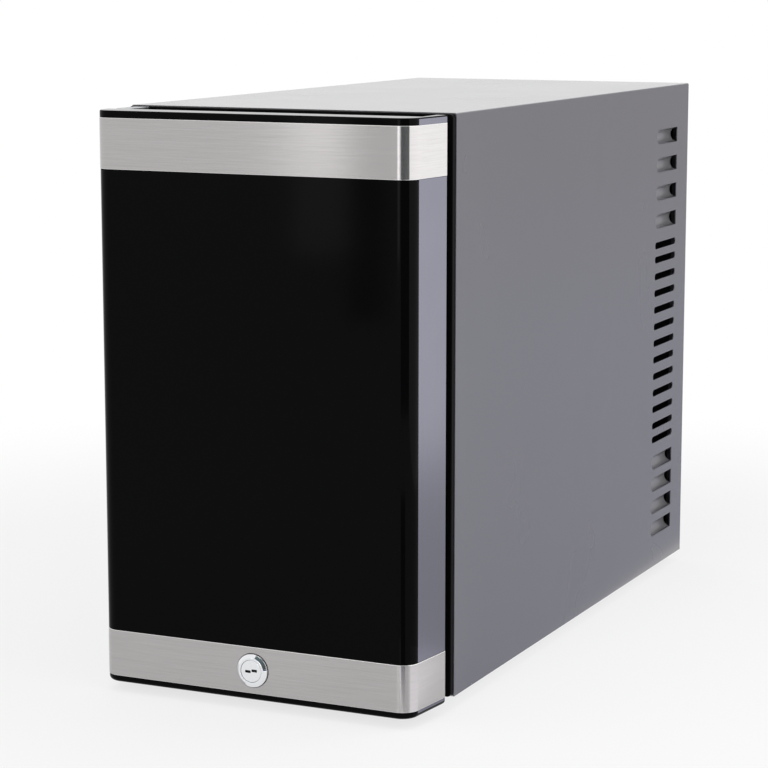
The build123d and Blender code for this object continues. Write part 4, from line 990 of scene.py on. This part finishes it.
@dataclass
class CrossScrews:
    """The screws of one node: round heads with a cross recess, on plain shanks."""

    node: str
    body: str
    facing: Facing
    head: float = 3.4 * MM
    head_height: float = 1.6 * MM
    seat: float = 3.4 * MM
    shank: float = 2 * MM
    length: float = 6 * MM
    dome: float = 0.8 * MM
    head_reach: float = 2.1
    cross_share: float = 0.62
    cross_width: float = 0.9 * MM
    cross_depth: float = 0.9 * MM
    edge: float = 0.1 * MM
    edge_steps: int = 2
    sides: int = 32

    def places(self) -> list[Vector]:
        """Find the middle of each head's outer face on the node.

        Returns:
            The middles, in the order of the node's points.
        """
        heads: list[list[Vector]] = []
        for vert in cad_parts[self.node].data.vertices:
            point = vert.co.copy()
            for head in heads:
                if math.hypot(head[0].x - point.x, head[0].z - point.z) < self.head_reach * self.head:
                    head.append(point)
                    break
            else:
                heads.append([point])
        middles = []
        for head in heads:
            xs, ys, zs = zip(*head)
            outer = max(ys) if self.facing is Facing.REAR else min(ys)
            middles.append(Vector(((min(xs) + max(xs)) / 2, outer, (min(zs) + max(zs)) / 2)))
        return middles

    def build(self) -> None:
        """Build one screw, copy it to its places and dress it."""
        places = self.places()
        (x, outer, z), way = places[0], self.facing.value
        seat_y = outer - way * self.head_height
        rear_radius, front_radius = ((self.head, self.seat) if self.facing is Facing.REAR
                                     else (self.seat, self.head))
        screw = primitive(f"{self.node}_cross", bpy.ops.mesh.primitive_cone_add, vertices=self.sides,
                          radius1=rear_radius, radius2=front_radius, depth=self.head_height,
                          rotation=(QUARTER_TURN, 0, 0), location=(x, (outer + seat_y) / 2, z))
        with editing(screw):
            pick(screw, Element.EDGE, lambda edge: lies_at(edge, "y", outer))
            round_off(self.dome, EDGE_STEPS)
        near, far = sorted((seat_y + way * self.edge, seat_y - way * self.length))
        work(screw, bar("shank", self.shank, (x, near, z), far, self.sides), Cut.ADD)
        reach, half = self.cross_share * self.head, self.cross_width / 2
        near, far = sorted((outer - way * self.cross_depth, outer + way * CLEAR))
        for wide, tall in ((reach, half), (half, reach)):
            work(screw, block("cross", (x - wide, near, z - tall), (x + wide, far, z + tall)))
        ease(screw, self.edge, self.edge_steps)
        repeat(screw, places)
        dress(screw, "bright_screw")
        settle(screw, self.body, self.node)


@dataclass(frozen=True)
class SoftBox:
    """A soft panel light that the camera doesn't see."""

    name: str
    place: Place
    aim: Place
    width: float
    height: float
    radiance: float
    hidden_from: tuple[Ray, ...] = (Ray.CAMERA,)

    def hang(self) -> None:
        """Hang the light and aim it."""
        lamp = bpy.data.lights.new(self.name, "AREA")
        lamp.shape = "RECTANGLE"
        lamp.size, lamp.size_y = self.width, self.height
        lamp.energy = self.radiance * math.pi * self.width * self.height
        holder = put(bpy.data.objects.new(self.name, lamp))
        holder.location = self.place
        away = Vector(self.aim) - Vector(self.place)
        holder.rotation_euler = away.to_track_quat("-Z", "Y").to_euler()
        for ray in self.hidden_from:
            setattr(holder, ray.value, False)


@dataclass(frozen=True)
class Card:
    """A card around a right front corner of the cooler, which only gloss shows.

    It goes from one angle to another, in degrees from the front, and stands at its far end. A card with
    a near end also lies on the floor from there to the far end. Its tones go by the share of its height.
    """

    name: str
    start: float
    end: float
    near: float | None
    far: float
    height: float
    tones: dict[float, Colour]
    foot: float = MM
    around: str = "door_skin"
    steps: int = 16

    def material(self) -> Material:
        """Make the card's own tones, from the floor upwards.

        Returns:
            The card's material.
        """
        material, sketch, place = new_material(self.name)
        level = sketch.add("ShaderNodeSeparateXYZ", {"Vector": place}).outputs["Z"]
        ramp = sketch.add("ShaderNodeValToRGB", {"Fac": sketch.spread(level, 0.0, 1.0, 0.0, self.height)})
        stops = ramp.color_ramp.elements
        if len(self.tones) == 1:
            stops.remove(stops[-1])
        while len(stops) < len(self.tones):
            stops.new(1.0)
        for stop, (position, tone) in zip(stops, self.tones.items()):
            stop.position = position
            stop.color = (*tone, 1)
        glow = sketch.add("ShaderNodeEmission", {"Color": ramp.outputs["Color"], "Strength": 1.0})
        sketch.add("ShaderNodeOutputMaterial", {"Surface": glow.outputs[0]})
        return material

    def stand(self) -> None:
        """Stand the card around the right front corner of its node."""
        low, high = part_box(self.around)
        profile = [(self.far, self.foot), (self.far, self.height)]
        if self.near is not None:
            profile.insert(0, (self.near, self.foot))
        rows = len(profile)
        verts = []
        for step in range(self.steps + 1):
            turn = math.radians(self.start + (self.end - self.start) * step / self.steps)
            verts += [(high.x + reach * math.sin(turn), low.y - reach * math.cos(turn), level)
                      for reach, level in profile]
        faces = [(first, first + 1, first + rows + 1, first + rows) for step in range(self.steps)
                 for first in range(step * rows, step * rows + rows - 1)]
        mesh = bpy.data.meshes.new(self.name)
        mesh.from_pydata(verts, [], faces)
        card = put(bpy.data.objects.new(self.name, mesh))
        mesh.materials.append(self.material())
        for ray in Ray:
            setattr(card, ray.value, ray is Ray.GLOSSY)


CARDS = (
    Card("corner_card", 11, 63, None, 1.2, 1.6,
         {0.0: (0.04, 0.046, 0.07), 0.1: (0.085, 0.092, 0.085), 0.55: (0.11, 0.145, 0.155)}),
    Card("lock_card", 12, 40, 0.13, 0.75, 2 * MM, {0.0: (0.05, 0.058, 0.15)}),
    Card("ring_card", -18, 11, None, 1.2, 1.6, {0.0: (0.11, 0.145, 0.155), 1.0: (0.12, 0.165, 0.175)},
         foot=1.05),
    Card("side_card", -26.95, -25.45, None, 2.0, 1.6, {0.0: (0.25, 0.25, 0.25)}),
    Card("pale_card", 75, 152, 0.01, 0.2, 2 * MM, {0.0: (1.38, 1.37, 1.42)}),
    Card("glint_card", 2, 10, 0.01, 0.22, 2 * MM, {0.0: (1.8, 1.8, 1.8)}),
    Card("rear_card", 150, 178, 0.01, 1.85, 1.2, {0.0: (0.46, 0.465, 0.54), 0.2: (0.43, 0.42, 0.44)},
         around="cabinet_sheet"),
)
BOXES = (
    SoftBox("top_box", (0.0, -0.1, 2.2), (0.0, 0.0, 0.2), 2.2, 2.2, 0.9),
    SoftBox("right_box", (0.911, -0.126, 0.56), (0.0, -0.48, 0.56), 1.5, 1.12, 1.0),
    SoftBox("front_box", (0.0, -2.2, 1.1), (0.1, -0.28, 0.2), 0.5, 1.8, 5.0, (Ray.CAMERA, Ray.GLOSSY)),
    SoftBox("front_glint", (0.0, -2.2, 0.32), (0.1, -0.28, 0.38), 0.5, 0.44, 2.6, (Ray.CAMERA, Ray.DIFFUSE)),
    SoftBox("left_strip", (-0.915, -2.25, 0.9), (0.05, -0.28, 0.2), 0.1, 1.8, 1.3),
)


@dataclass
class Studio:
    """The white room: floor, world, soft lights, cards and the camera."""

    cards: tuple[Card, ...] = CARDS
    boxes: tuple[SoftBox, ...] = BOXES
    white: Colour = (1.0, 1.0, 1.0)
    ambient: float = 0.55
    floor_size: float = 14.0
    floor_drop: float = 0.2 * MM
    floor_tone: Colour = (0.8, 0.8, 0.8)
    floor_lift: float = 0.74
    fade_start: float = 0.42
    fade_end: float = 1.0
    camera_place: Place = (0.7877, -1.7623, 0.5054)
    camera_heading: float = math.radians(24.87)
    camera_tilt: float = math.radians(-9.37)
    lens: float = 117.8

    def paint_world(self) -> None:
        """Make the world white where it is seen, and a plain soft light elsewhere."""
        world = bpy.data.worlds.new("white_room")
        world.use_nodes = True
        sketch = NodeSketch(world.node_tree)
        strength = sketch.spread(sketch.background_mask(), self.ambient, 1.0)
        light = sketch.add("ShaderNodeBackground", {"Color": self.white, "Strength": strength})
        sketch.add("ShaderNodeOutputWorld", {"Surface": light.outputs["Background"]})
        bpy.context.scene.world = world

    def lay_floor(self) -> None:
        """Lay the pale floor, which fades to white away from the cooler and keeps its shadow."""
        floor = primitive("floor", bpy.ops.mesh.primitive_plane_add, size=self.floor_size,
                          location=(0, 0, -self.floor_drop))
        material, sketch, place = new_material("pale_floor")
        away = sketch.add("ShaderNodeVectorMath", {0: place}, operation="LENGTH").outputs["Value"]
        fade = sketch.spread(away, self.floor_lift, 1.0, self.fade_start, self.fade_end, "SMOOTHSTEP")
        seen = sketch.compute("MULTIPLY", fade, sketch.background_mask())
        matt = sketch.add("ShaderNodeBsdfDiffuse", {"Color": self.floor_tone})
        glow = sketch.add("ShaderNodeEmission", {"Color": self.white, "Strength": 1.0})
        mixed = sketch.add("ShaderNodeMixShader", {0: seen, 1: matt.outputs[0], 2: glow.outputs[0]})
        sketch.add("ShaderNodeOutputMaterial", {"Surface": mixed.outputs[0]})
        floor.data.materials.append(material)

    def set_camera(self) -> None:
        """Stand the camera where the photograph was taken from."""
        camera = bpy.data.cameras.new("camera")
        camera.lens = self.lens
        holder = put(bpy.data.objects.new("camera", camera))
        holder.location = self.camera_place
        holder.rotation_euler = (QUARTER_TURN + self.camera_tilt, 0, self.camera_heading)
        bpy.context.scene.camera = holder

    def build(self) -> None:
        """Set up the room, the lights and the camera."""
        bpy.context.scene.view_settings.view_transform = "Standard"
        self.paint_world()
        self.lay_floor()
        for card in self.cards:
            card.stand()
        for box in self.boxes:
            box.hang()
        self.set_camera()


def main() -> None:
    """Build every sub-assembly, dress what the construction model shows, and set up the studio."""
    logging.basicConfig(level=logging.INFO, format="%(message)s")
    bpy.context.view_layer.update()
    assemblies = (
        DoorFront(),
        CamLock(),
        DoorSeal(),
        StandingFeet(),
        CrossScrews("rear_cover_screws", "cabinet", Facing.REAR, shank=1.7 * MM),
        CrossScrews("cam_screw", "lock_core", Facing.REAR, head=4 * MM, head_height=1.7 * MM, seat=4 * MM),
        CrossScrews("frame_screws", "cabinet", Facing.FRONT, head_height=1.4 * MM, seat=2 * MM,
                    length=5.6 * MM, dome=0.1 * MM),
    )
    for assembly in assemblies:
        assembly.build()
    dress_nodes()
    Studio().build()


if __name__ == "__main__":
    main()
